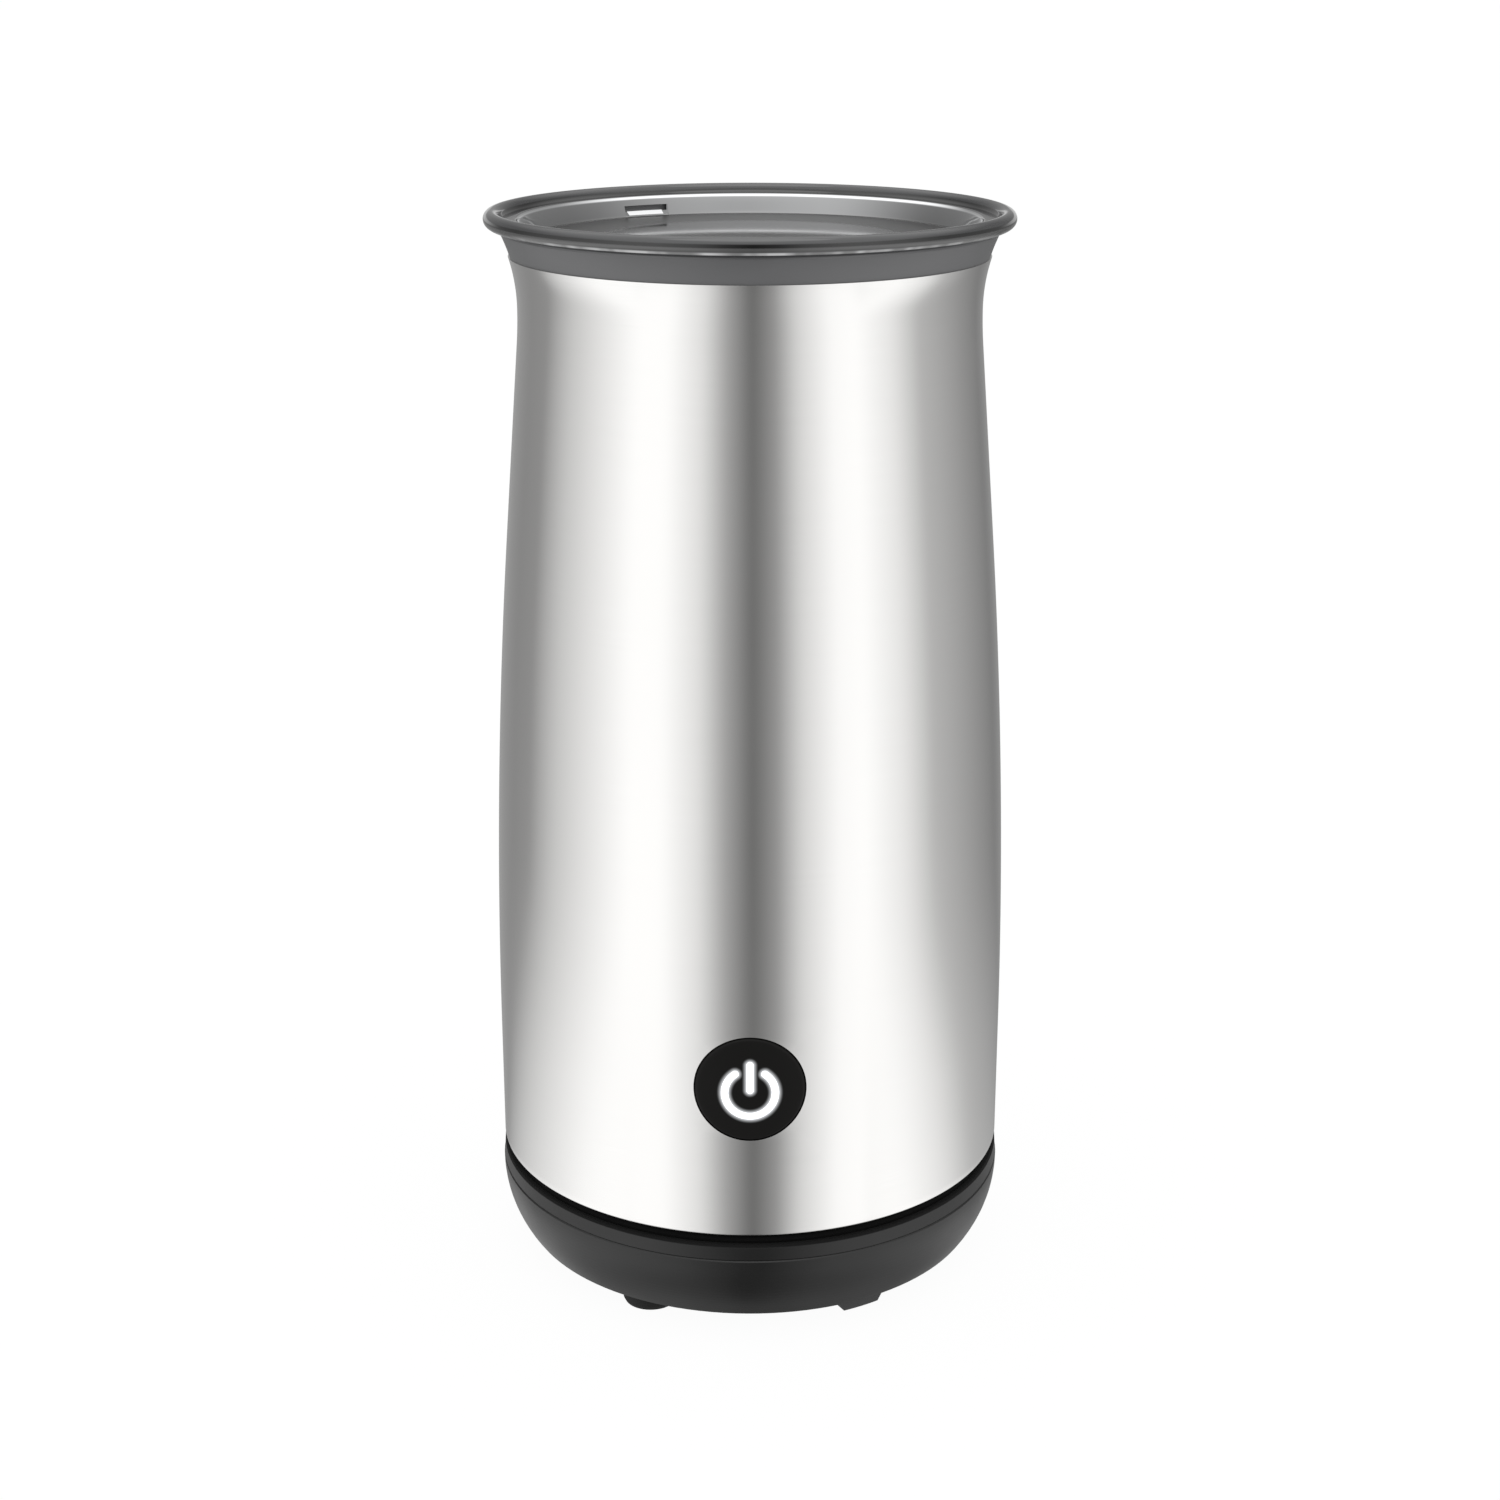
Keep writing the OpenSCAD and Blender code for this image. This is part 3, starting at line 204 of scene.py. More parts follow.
def in_mm(tree, place):
    """The three numbers of a place, in millimetres."""
    part = add(tree, "SeparateXYZ", {"Vector": place}).outputs
    return [calc(tree, "DIVIDE", part[axis], MM) for axis in "XYZ"]


NOISE_RANGE = (0.3, 0.7)
print("node words: calc, product, distance, blend, scaled, band, noise, object_place, in_mm")

# %% [markdown]
# ## Soft studio light
#
# Steel has no colour of its own: it shows what stands round it.  A studio lights such a
# jug with a broad soft light on each side and lets the dark of the room show in between, and
# that makes the bright flanks, the dark stripe down the middle and the grey edges.  Lamps could
# do this, but their edges are hard and noisy.  Here the sky itself is the studio: its
# brightness depends on the compass direction, through a ramp with a few stops.  Near the ground
# the side lights spread, as they do where a pale table throws them back, and far below they
# dim, because there the object shades the table.

# %% Sky
STUDIO = [
    (-180, 0.28), (-135, 0.22), (-117, 0.25), (-97, 0.53), (-72, 0.80), (-55, 1.0), (-40, 1.0),
    (-23, 0.74), (-11, 0.35), (1, 0.125), (12, 0.28), (23, 0.65), (40, 0.96), (52, 1.0),
    (72, 0.78), (90, 0.44), (106, 0.36), (124, 0.27), (146, 0.175), (163, 0.215), (180, 0.26),
]
NEAR_GROUND = (-0.50, -0.33)
GROUND_SPREAD = 0.64
FAR_BELOW = (-0.84, -0.60)
BELOW = 0.52


def studio_ramp(tree, bearing):
    """Brightness for a compass bearing in turns (-0.5 to 0.5), 0 where the camera stands."""
    ramp = add(tree, "ValToRGB", {"Fac": calc(tree, "ADD", bearing, 0.5)})
    stops = ramp.color_ramp.elements
    for degrees, level in STUDIO[1:-1]:
        stops.new(degrees / 360 + 0.5).color = grey(level)
    stops[0].color = grey(STUDIO[0][1])
    stops[len(stops) - 1].color = grey(STUDIO[-1][1])
    return ramp.outputs["Color"]


world = bpy.data.worlds.new("soft studio")
bpy.context.scene.world = world
world.use_nodes = True
sky = world.node_tree
sky.nodes.clear()
direction = add(sky, "SeparateXYZ", {"Vector": add(sky, "TexCoord").outputs["Generated"]}).outputs
up = direction["Z"]
angle = calc(sky, "ARCTAN2", direction["X"], calc(sky, "MULTIPLY", direction["Y"], -1.0))
bearing = calc(sky, "MULTIPLY", angle, 1 / (2 * math.pi))
near_ground = product(sky, bearing, scaled(sky, up, *NEAR_GROUND, GROUND_SPREAD, 1.0))
level = blend(sky, 1.0, studio_ramp(sky, bearing), studio_ramp(sky, near_ground), "LIGHTEN")
dimmed = blend(sky, 1.0, level, band(sky, up, *FAR_BELOW, BELOW, 1.0), "MULTIPLY")
print("sky:", len(STUDIO), "stops from", STUDIO[0][0], "to", STUDIO[-1][0], "degrees")

# %% [markdown]
# Besides the side lights the studio has three more: one large soft light is the ceiling, and a
# small lamp straight overhead draws a thin light line along each rounded edge.  Far behind the
# jug, at the height of its lid, stands a pale backdrop, which shows in the two ends of the lid's
# bead.  Seen from the front, the steel mirrors none of the three, as an upright wall that is
# looked at from above mirrors what is low; seen from behind, it shows the backdrop as a soft pale
# patch.  The camera itself sees plain white.

# %% Ceiling, lamp and backdrop
STEEL_SHINE = 0.70
STRENGTH = 1.02
CEILING, CEILING_EDGE = 1.5, (0.38, 0.84)
LAMP, LAMP_EDGE = 2.5, (0.935, 0.955)
BACKDROP = 0.52
BACKDROP_FOOT, BACKDROP_TOP, BACKDROP_SIDE = (-0.09, -0.04), (0.07, 0.10), (0.36, 0.42)

backdrop = product(
    sky, band(sky, up, *BACKDROP_FOOT), band(sky, up, *BACKDROP_TOP, 1.0, 0.0),
    band(sky, calc(sky, "ABSOLUTE", bearing), *BACKDROP_SIDE),
)
walls = blend(sky, backdrop, dimmed, grey(BACKDROP))
ceiling = blend(sky, band(sky, up, *CEILING_EDGE), walls, grey(CEILING * STEEL_SHINE))
studio = blend(sky, band(sky, up, *LAMP_EDGE), ceiling, grey(LAMP * STEEL_SHINE))
lit = add(sky, "Background", {"Color": studio, "Strength": STRENGTH / STEEL_SHINE}).outputs[0]
plain = add(sky, "Background", {"Color": grey(1.0), "Strength": 1.0}).outputs[0]
seen = add(sky, "LightPath").outputs["Is Camera Ray"]
add(sky, "OutputWorld", {"Surface": add(sky, "MixShader", {"Fac": seen, 1: lit, 2: plain}).outputs[0]})
bpy.context.scene.view_settings.view_transform = "Standard"
print("ceiling", CEILING, "and lamp", LAMP, "times white; backdrop", BACKDROP)

# %% [markdown]
# ## Table
#
# The table is one large pale disc that melts into the background, as a table lit from below
# does: most of its white is its own glow, and a small share is paint that takes a faint
# shadow.  Other surfaces don't see it, so that the steel mirrors the side lights and not an
# empty white plane, and from below it is clear as air, so the base can be looked at.

# %% Table
TABLE_R = 12.0
TABLE_SIDES = 96
TABLE_GLOW = 0.96


def pale_table():
    """A disc in the plane z = 0: its rim is x = R cos a, y = R sin a."""
    a = np.linspace(0, 2 * math.pi, TABLE_SIDES, endpoint=False)
    rim = np.stack([TABLE_R * np.cos(a), TABLE_R * np.sin(a), 0 * a], axis=1)
    mesh = bpy.data.meshes.new("table")
    mesh.from_pydata(rim.tolist(), [], [list(range(TABLE_SIDES))])
    table = bpy.data.objects.new("table", mesh)
    bpy.context.scene.collection.objects.link(table)
    return table


table = pale_table()
table.visible_glossy = False
table.visible_diffuse = False
print("table: a disc of", 2 * TABLE_R, "m")

# %% [markdown]
# Its paint is a mix of three shaders: paint and glow above, and nothing below, where the
# surface turns its back.

# %% Table paint
paint = bpy.data.materials.new("pale_table")
paint.use_nodes = True
tree = paint.node_tree
pale = tree.nodes["Principled BSDF"]
pale.inputs["Base Color"].default_value = grey(0.9)
pale.inputs["Roughness"].default_value = 0.9
pale.inputs["Specular IOR Level"].default_value = 0.0
glow = add(tree, "Emission", {"Color": grey(1.0), "Strength": 1.0}).outputs[0]
top = add(tree, "MixShader", {"Fac": TABLE_GLOW, 1: pale.outputs[0], 2: glow}).outputs[0]
clear = add(tree, "BsdfTransparent").outputs[0]
from_below = add(tree, "NewGeometry").outputs["Backfacing"]
both = add(tree, "MixShader", {"Fac": from_below, 1: top, 2: clear}).outputs[0]
tree.links.new(both, tree.nodes["Material Output"].inputs["Surface"])
table.data.materials.append(paint)
print("table:", round(100 * TABLE_GLOW), "% of its white is glow")

# %% [markdown]
# ## Surfaces on a grid
#
# Three small tools make every new surface.  `quads` numbers the faces of a grid of points.
# `rounded` turns a few corners into an outline with true arcs, as a die or a lathe tool would
# leave them.  `revolve` carries an outline round the axis.  A turned part needs no more than
# these, and the poles, where many points meet on the axis, are merged when the mesh is made.

# %% Grid tools
def quads(rows, columns, wrap_rows=False, wrap_columns=False):
    """Faces of a grid as four point numbers each: the point in row i, column j is i * columns + j."""
    i = np.arange(rows if wrap_rows else rows - 1)
    j = np.arange(columns if wrap_columns else columns - 1)
    i, j = (g.ravel() for g in np.meshgrid(i, j, indexing="ij"))
    i2 = (i + 1) % rows
    j2 = (j + 1) % columns
    return np.stack([i * columns + j, i2 * columns + j, i2 * columns + j2, i * columns + j2], axis=1)


def rounded(corners, steps=6):
    """Closed outline of (r, z) points from corners (r, z, fillet): each corner becomes an arc that
    touches both of its sides, centred on the line that halves the corner."""
    table = np.array(corners, float)
    p = table[:, :2]
    radius = table[:, 2:]
    to_last = np.roll(p, 1, axis=0) - p
    to_next = np.roll(p, -1, axis=0) - p
    to_last /= np.linalg.norm(to_last, axis=1, keepdims=True)
    to_next /= np.linalg.norm(to_next, axis=1, keepdims=True)
    half = 0.5 * np.arccos(np.clip((to_last * to_next).sum(1, keepdims=True), -0.999999, 0.999999))
    middle = to_last + to_next
    middle /= np.maximum(np.linalg.norm(middle, axis=1, keepdims=True), 1e-9)
    cut = radius / np.tan(half)
    centre = p + middle * radius / np.sin(half)
    first = p + to_last * cut - centre
    last = p + to_next * cut - centre
    turn = math.pi - 2 * half
    s = np.linspace(0, 1, steps)[:, None, None]
    arcs = centre + (np.sin((1 - s) * turn) * first + np.sin(s * turn) * last) / np.sin(turn)
    points = arcs.transpose(1, 0, 2).reshape(-1, 2)
    apart = np.linalg.norm(points - np.roll(points, 1, axis=0), axis=1) > 1e-5
    return points[apart]


def arc(r, z, radius, start, end, steps):
    """Corners without fillet on an arc round (r, z), from one angle to another in degrees."""
    a = np.radians(np.linspace(start, end, steps + 1))
    return np.stack([r + radius * np.cos(a), z + radius * np.sin(a), 0 * a], axis=1)


def revolve(outline, sides=256):
    """Outline carried round the z axis: x = r cos a, y = r sin a.  It is turned to run
    anticlockwise, which makes the faces look outwards."""
    r = outline[:, 0]
    z = outline[:, 1]
    area = (r * np.roll(z, -1) - np.roll(r, -1) * z).sum()
    if area < 0:
        r, z = r[::-1], z[::-1]
    a = np.linspace(0, 2 * math.pi, sides, endpoint=False)[:, None]
    return np.stack([r * np.cos(a), r * np.sin(a), z + 0 * a], axis=-1)


print("a grid of 3 by 4 points has", len(quads(3, 4)), "faces")

# %% [markdown]
# `make` turns points and faces into a finished piece.  It merges the points that fall together,
# marks as sharp the edges that turn more than a given angle, gives it its material, puts the piece
# on its body and hides the part of the frame that it stands for.

# %% Making a piece
def make(name, points, faces, body, slot, skin, stands_for=(), sharp=35, thickness=0.0, bevel=0.0,
         closed=False):
    """A mesh from points (in mm) and faces, with its finish, riding on its body."""
    mesh = bpy.data.meshes.new(name)
    used, faces = np.unique(faces, return_inverse=True)
    points = np.asarray(points).reshape(-1, 3)[used] * MM
    mesh.from_pydata(points.tolist(), [], faces.reshape(-1, 4).tolist())
    shape = bmesh.new()
    shape.from_mesh(mesh)
    bmesh.ops.remove_doubles(shape, verts=shape.verts, dist=1e-7)
    if closed:
        bmesh.ops.recalc_face_normals(shape, faces=shape.faces)
    shape.to_mesh(mesh)
    shape.free()
    mesh.shade_smooth()
    mesh.set_sharp_from_angle(angle=math.radians(sharp))
    mesh.materials.append(skin)
    piece = bpy.data.objects.new(name, mesh)
    bpy.context.scene.collection.objects.link(piece)
    if thickness:
        wall = piece.modifiers.new("wall", "SOLIDIFY")
        wall.thickness = thickness * MM
        wall.offset = -1.0
        wall.use_even_offset = True
    if bevel:
        edge = piece.modifiers.new("edge", "BEVEL")
        edge.width = bevel * MM
        edge.segments = 2
        edge.limit_method = "ANGLE"
        edge.angle_limit = math.radians(50)
        edge.harden_normals = True
    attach(piece, body)
    if stands_for:
        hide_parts(*stands_for)
    print(f"{name}: {len(mesh.vertices)} points, {len(mesh.polygons)} faces")
    return piece


def lathe(name, outline, body, slot, skin, stands_for=(), sides=256, **more):
    """A turned piece: its outline carried once round the z axis."""
    points = revolve(outline, sides)
    faces = quads(sides, len(outline), wrap_rows=True, wrap_columns=True)
    return make(name, points, faces, body, slot, skin, stands_for, **more)


print("tools: make for a grid, lathe for a turned outline")

# %% [markdown]
# ## Moulded plastic
#
# Most of the black and grey parts are injection moulded.  The mould is eroded with sparks, so
# the surface has a grain far finer than a millimetre; the colour is almost even, and the gloss
# wanders a little where fingers touch it.  One recipe makes them all: a fine noise as bump, a
# coarse one for tone and gloss.  It reads Object coordinates, which are metres in the frame.

# %% Finish tools
def principled(name):
    """A new material, its graph and its shader node."""
    material = bpy.data.materials.new(name)
    material.use_nodes = True
    return material, material.node_tree, material.node_tree.nodes["Principled BSDF"]


def tones(colour, darker, lighter):
    """The colour made darker and made lighter by those shares."""
    shares = (1 - darker, 1 + lighter)
    return [tuple(min(1.0, c * share) for c in colour) + (1.0,) for share in shares]


def lay_on(tree, tint, gloss, relief, depth):
    """Gives the shader its colour, its roughness and a relief of that depth in mm."""
    inputs = tree.nodes["Principled BSDF"].inputs
    bump = add(tree, "Bump", {"Height": relief, "Strength": 1.0, "Distance": depth * MM})
    tree.links.new(tint, inputs["Base Color"])
    tree.links.new(gloss, inputs["Roughness"])
    tree.links.new(bump.outputs["Normal"], inputs["Normal"])


print("finish tools: principled, tones, lay_on")

# %% [markdown]
# The recipe itself, and the table of the parts' colours and roughness.  Black comes in many kinds:
# the rubber of the seal swallows nearly all light, a polished moulding gives some of it back.

# %% Plastic recipe
def moulded(name, colour, roughness, grain=0.3, depth=0.004, tone=0.06, shine=0.5, uneven=0.04):
    """Moulded plastic: grain is the size of the mould's texture and depth its height, in mm;
    shine is the strength of the reflection, 0.5 for a clean hard plastic."""
    material, tree, shader = principled(name)
    place = object_place(tree)
    fine = noise(tree, place, 1 / (grain * MM))
    coarse = noise(tree, place, 90.0, 3.0)
    gloss = scaled(tree, coarse, *NOISE_RANGE, roughness - uneven, roughness + uneven)
    lay_on(tree, blend(tree, coarse, *tones(colour, tone, tone)), gloss, fine, depth)
    shader.inputs["Specular IOR Level"].default_value = shine
    return material


PLASTICS = [
    ("black_plastic", (0.006, 0.006, 0.006), 0.34, {"shine": 0.38}),
    ("cover_plastic", (0.006, 0.006, 0.006), 0.34, {"shine": 0.38}),
    ("underside_plastic", (0.018, 0.018, 0.019), 0.55, {"depth": 0.012}),
    ("collar_plastic", (0.122, 0.123, 0.126), 0.42, {}),
    ("foot_rubber", (0.007, 0.007, 0.007), 0.7, {"depth": 0.01, "shine": 0.3}),
    ("seal_rubber", (0.0015, 0.0015, 0.0015), 0.7, {"shine": 0.1}),
    ("guide_plastic", (0.003, 0.003, 0.003), 0.6, {"shine": 0.12}),
    ("chassis_plastic", (0.045, 0.046, 0.05), 0.6, {"depth": 0.01}),
    ("connector_plastic", (0.028, 0.028, 0.03), 0.5, {}),
    ("pale_plastic", (0.70, 0.68, 0.61), 0.4, {}),
    ("whisk_plastic", (0.02, 0.02, 0.022), 0.42, {}),
    ("silicone", (0.40, 0.41, 0.42), 0.45, {}),
    ("component_plastic", (0.05, 0.06, 0.09), 0.45, {}),
    ("ferrite", (0.06, 0.06, 0.062), 0.65, {"depth": 0.01}),
]
finish = {name: moulded(name, colour, rough, **more) for name, colour, rough, more in PLASTICS}
print("plastics, rubbers and the fired magnets:", len(finish))

# %% [markdown]
# Two of these parts change near an edge.  The black trim of the bottom cover ends in a dull
# shadow under the seal, and the collar is glossy just under the lid, so that it mirrors the dark
# there.  Both follow from the height alone, so a soft step of the height mixes the two states.

# %% A change with height
SHADOW_DROP, SHADOW_SOFT, SHADOW_ROUGH, SHADOW_SHADE = 0.5, 0.25, 1.0, 0.2
UNDER_LID_DROP, UNDER_LID_ROUGH = 0.8, 0.16


def by_height(material, start, rough, shade=1.0):
    """Above a height in mm, lets the roughness go over to another value and the colour to a
    darker or lighter shade of itself."""
    tree = material.node_tree
    inputs = tree.nodes["Principled BSDF"].inputs
    height = in_mm(tree, object_place(tree))[2]
    above = band(tree, height, start, start + SHADOW_SOFT)
    old_gloss, old_tint = (inputs[name].links[0].from_socket for name in ("Roughness", "Base Color"))
    gloss = add(tree, "Mix", {"Factor": above, "A": old_gloss, "B": rough}).outputs["Result"]
    tint = blend(tree, 1.0, old_tint, blend(tree, above, grey(1.0), grey(shade)), "MULTIPLY")
    tree.links.new(gloss, inputs["Roughness"])
    tree.links.new(tint, inputs["Base Color"])


trim_top = span("sleeve_seal")[0][2]
collar_top = span("rim_collar")[1][2]
by_height(finish["cover_plastic"], trim_top - SHADOW_DROP, SHADOW_ROUGH, SHADOW_SHADE)
by_height(finish["collar_plastic"], collar_top - UNDER_LID_DROP, UNDER_LID_ROUGH)
print(f"changes at {trim_top - SHADOW_DROP:.1f} and {collar_top - UNDER_LID_DROP:.1f} mm")

# %% [markdown]
# ## Metals
#
# The jug's steel is polished round its axis with a fine belt, so it has hair-thin lines that
# run round it.  Across them the surface is rougher than along them, and that is why its
# highlights stand as tall upright streaks: an anisotropic shader.  Its direction comes from the
# piece's own UV map, which runs up the wall.  The small metal parts share one plain recipe with
# fine scratches.

# %% Metal recipe
def metal(name, colour, roughness, scratch=0.06, tone=0.08, size=0.4):
    """Bare or plated metal with fine uneven gloss and tone."""
    material, tree, shader = principled(name)
    stretch = add(tree, "Mapping", {"Vector": object_place(tree), "Scale": (1.0, 1.0, 6.0)})
    fine = noise(tree, stretch.outputs[0], 1 / (size * MM), 3.0)
    gloss = scaled(tree, fine, *NOISE_RANGE, roughness - scratch, roughness + scratch)
    lay_on(tree, blend(tree, fine, *tones(colour, tone, tone)), gloss, fine, 0.002)
    shader.inputs["Metallic"].default_value = 1.0
    return material


METALS = [
    ("bright_steel", (0.66, 0.66, 0.66), 0.2), ("zinc_steel", (0.60, 0.61, 0.62), 0.3),
    ("motor_steel", (0.42, 0.43, 0.44), 0.35), ("spring_steel", (0.68, 0.68, 0.68), 0.18),
    ("contact_brass", (0.78, 0.56, 0.22), 0.25), ("heater_tube", (0.26, 0.20, 0.16), 0.42),
    ("magnet_nickel", (0.58, 0.57, 0.56), 0.22), ("copper_winding", (0.50, 0.20, 0.09), 0.35),
]
finish.update({name: metal(name, colour, rough) for name, colour, rough in METALS})
finish["aluminium"] = metal("aluminium", (0.55, 0.56, 0.57), 0.45, size=0.8)
print("small metal parts:", len(METALS) + 1, "finishes")

# %% [markdown]
# The jug's own steel: hair lines 1/9 mm apart that run round it are a noise pressed flat along u, a
# far coarser noise lets the gloss wander, and the shader stretches each highlight across the lines.

# %% Polished steel
HAIR = (9000.0, 60.0, 1.0)
HAIR_DEPTH = 0.0004
JUG_ROUGH, JUG_ROUGH_WANDER = 0.17, 0.015


def belt_polished(name, colour, anisotropy):
    """Steel polished round its axis.  The UV map is in metres: u runs up, v runs round."""
    material, tree, shader = principled(name)
    place = add(tree, "UVMap", uv_map="grain").outputs["UV"]
    lines = noise(tree, add(tree, "Mapping", {"Vector": place, "Scale": HAIR}).outputs[0], 1.0, 3.0)
    cloud = noise(tree, place, 25.0)
    gloss = scaled(tree, cloud, *NOISE_RANGE, JUG_ROUGH - JUG_ROUGH_WANDER, JUG_ROUGH + JUG_ROUGH_WANDER)
    lay_on(tree, blend(tree, lines, *tones(colour, 0.03, 0.02)), gloss, lines, HAIR_DEPTH)
    tangent = add(tree, "Tangent", direction_type="UV_MAP", uv_map="grain").outputs["Tangent"]
    tree.links.new(tangent, shader.inputs["Tangent"])
    shader.inputs["Metallic"].default_value = 1.0
    shader.inputs["Anisotropic"].default_value = anisotropy
    return material


finish["brushed_steel"] = belt_polished("jug_steel", (0.70, 0.695, 0.685), 0.6)
print("polished steel: roughness", JUG_ROUGH, "with lines", round(1e3 / HAIR[0], 2), "mm apart")

# %% [markdown]
# ## Three special finishes
#
# The pot's coating is sprayed on: dark, with pale flecks that a cell texture scatters, and a faint
# grain.  The circuit boards are clear green resin over a faint weave of glass.  The lamp behind
# the button is white plastic that glows.

# %% Pot coating, circuit board and lamp
FLECK_SCALE, FLECK_EDGE = 900.0, (0.16, 0.22)
COAT_GRAIN, COAT_DEPTH = 2600.0, 0.008

finish["pot_coating"], pot_tree, coat = principled("pot_coating")
pot_place = object_place(pot_tree)
cells = add(pot_tree, "TexVoronoi", {"Vector": pot_place, "Scale": FLECK_SCALE}).outputs["Distance"]
flecks = scaled(pot_tree, cells, *FLECK_EDGE, 1.0, 0.0)
grain = noise(pot_tree, pot_place, COAT_GRAIN)
relief = add(pot_tree, "Bump", {"Height": grain, "Strength": 1.0, "Distance": COAT_DEPTH * MM})
pot_tree.links.new(blend(pot_tree, flecks, grey(0.035), grey(0.16)), coat.inputs["Base Color"])
pot_tree.links.new(relief.outputs["Normal"], coat.inputs["Normal"])
coat.inputs["Roughness"].default_value = 0.38

finish["circuit_board"], board_tree, resin = principled("circuit_board")
weave = add(board_tree, "TexWave", {
    "Vector": object_place(board_tree), "Scale": 420.0, "Distortion": 1.5, "Detail": 1.0,
}).outputs["Fac"]
board_tint = blend(board_tree, weave, (0.012, 0.085, 0.035, 1.0), (0.02, 0.13, 0.055, 1.0))
board_tree.links.new(board_tint, resin.inputs["Base Color"])
resin.inputs["Roughness"].default_value = 0.3
resin.inputs["Coat Weight"].default_value = 0.5

finish["light_white"], lamp_tree, lamp = principled("light_white")
cloud = noise(lamp_tree, object_place(lamp_tree), 500.0)
lamp_tint = blend(lamp_tree, cloud, (0.88, 0.9, 0.92, 1.0), (0.95, 0.96, 0.97, 1.0))
lamp_tree.links.new(lamp_tint, lamp.inputs["Base Color"])
lamp.inputs["Roughness"].default_value = 0.5
lamp.inputs["Emission Color"].default_value = (0.95, 0.97, 1.0, 1.0)
lamp.inputs["Emission Strength"].default_value = 0.55
print("special finishes: coating, circuit board, lamp")

# %% [markdown]
# ## The steel jacket
#
# On the real jug this is one sheet of stainless steel, 0.6 mm thick, drawn to a tube and
# then spun: straight at the foot, swelling in one very wide arc, leaning in evenly, and flared
# again at the top.  Its foot is turned in by a small hem, and a round window is punched for the
# button.  A turned outline can't have a window in one side, so the sheet is a grid of angle and
# height from which a rectangle of cells is left out, and rings of points run from the edge of
# that rectangle to the circle.  Every ring point lies on the same surface as its neighbours, so
# the reflections cross them without a mark.

# %% Outline of the steel
STRAIGHT_H = 23.0
BARREL_R = 1125.0
TAPER = 0.08
NECK_R = 75.0
FLARE_H = 8.8
FLARE_R = 30.0
STEEL_T = 0.6
HEM_R = 0.4
HEM_W = 1.8

shoulder_z = STEEL_Z0 + STRAIGHT_H
taper_z = shoulder_z + BARREL_R * TAPER
waist_z = STEEL_Z1 - FLARE_H
hollow_z = waist_z - NECK_R * TAPER
taper_r = STEEL_R - BARREL_R * TAPER ** 2 / 2
hollow_r = taper_r - TAPER * (hollow_z - taper_z)
waist_r = hollow_r - NECK_R * TAPER ** 2 / 2


def steel_out(z):
    """Outer radius of the steel at height z: a straight foot, a barrel arc that falls by
    h^2 / 2R, an even taper, a hollow arc and last the flare, an arc bent outwards."""
    z = np.asarray(z, float)
    flare = waist_r + FLARE_R - np.sqrt(FLARE_R ** 2 - np.clip(z - waist_z, 0, FLARE_R) ** 2)
    return np.select(
        [z <= shoulder_z, z <= taper_z, z <= hollow_z, z <= waist_z],
        [
            STEEL_R + 0 * z,
            STEEL_R - (z - shoulder_z) ** 2 / (2 * BARREL_R),
            taper_r - TAPER * (z - taper_z),
            waist_r + (waist_z - z) ** 2 / (2 * NECK_R),
        ],
        flare,
    )


print(f"steel: waist radius {waist_r:.2f} mm at {waist_z:.1f} mm, {steel_out(STEEL_Z1):.2f} mm at the top")

# %% [markdown]
# The window is a general tool: a sheet given by its radius at each height, with a rectangle of
# cells left out and rings of points that go over from that rectangle to the circle.

# %% A wall with a round window
def round_window(number, left, right, rows):
    """Numbers of the points round a rectangle of cells, once round, starting at its low left."""
    return np.concatenate([
        number[left:right, rows[0]], number[right, rows[:-1]],
        number[right:left:-1, rows[-1]], number[left, rows[:0:-1]],
    ])


def windowed_wall(r, z, out, window, columns=384, rings=5):
    """Sheet x = r sin a, y = -r cos a over a grid of angle and height, with a round window that
    looks along -Y.  window gives its height, its radius, the columns to leave out on each side
    of the middle, and the first and last row to leave out between.  Each ring is a blend of the
    rectangle's edge and the circle, laid on the sheet: y = -sqrt(out(z)^2 - x^2)."""
    middle_z, radius, side, low, high = window
    a = np.linspace(-math.pi, math.pi, columns, endpoint=False)[:, None]
    sheet = np.stack([r * np.sin(a), -r * np.cos(a), z + 0 * a], axis=-1)
    rows = len(z)
    left, right = columns // 2 - side, columns // 2 + side
    number = np.arange(columns * rows).reshape(columns, rows)
    edge = round_window(number, left, right, np.arange(low, high + 1))
    points = sheet.reshape(-1, 3)
    x, up = points[edge, 0], points[edge, 2] - middle_z
    reach = np.hypot(x, up)
    t = (np.arange(1, rings + 1) / rings)[:, None]
    ring_x = (1 - t) * x + t * radius * x / reach
    ring_z = middle_z + (1 - t) * up + t * radius * up / reach
    ring_y = -np.sqrt(out(ring_z) ** 2 - ring_x ** 2)
    ring = np.stack([ring_x, ring_y, ring_z], axis=-1)
    faces = quads(columns, rows, wrap_rows=True)
    i, j = np.divmod(faces[:, 0], rows)
    outside = (i < left) | (i >= right) | (j < low) | (j >= high)
    table = np.vstack([edge, len(points) + np.arange(rings * len(edge)).reshape(rings, -1)]).ravel()
    lace = table[quads(rings + 1, len(edge), wrap_columns=True)][:, ::-1]
    return np.vstack([points, ring.reshape(-1, 3)]), np.vstack([faces[outside], lace])


print("a window in a wall: rings of points between a rectangle and a circle")

# %% [markdown]
# The jacket is that sheet with the steel's outline and a small hem.  Solidify gives it the
# sheet's thickness inwards, and a small bevel takes the sharpness off the window's edge.

# %% Steel jacket
button_low, button_high = span("button_cap")
BUTTON_Z = (button_low[2] + button_high[2]) / 2
BUTTON_R = 9.38
BUTTON_GAP = 0.2
WINDOW_R = BUTTON_R + BUTTON_GAP
WINDOW_ROOM = 13.0
WINDOW_COLUMNS = 17
JACKET_BEVEL = 0.12

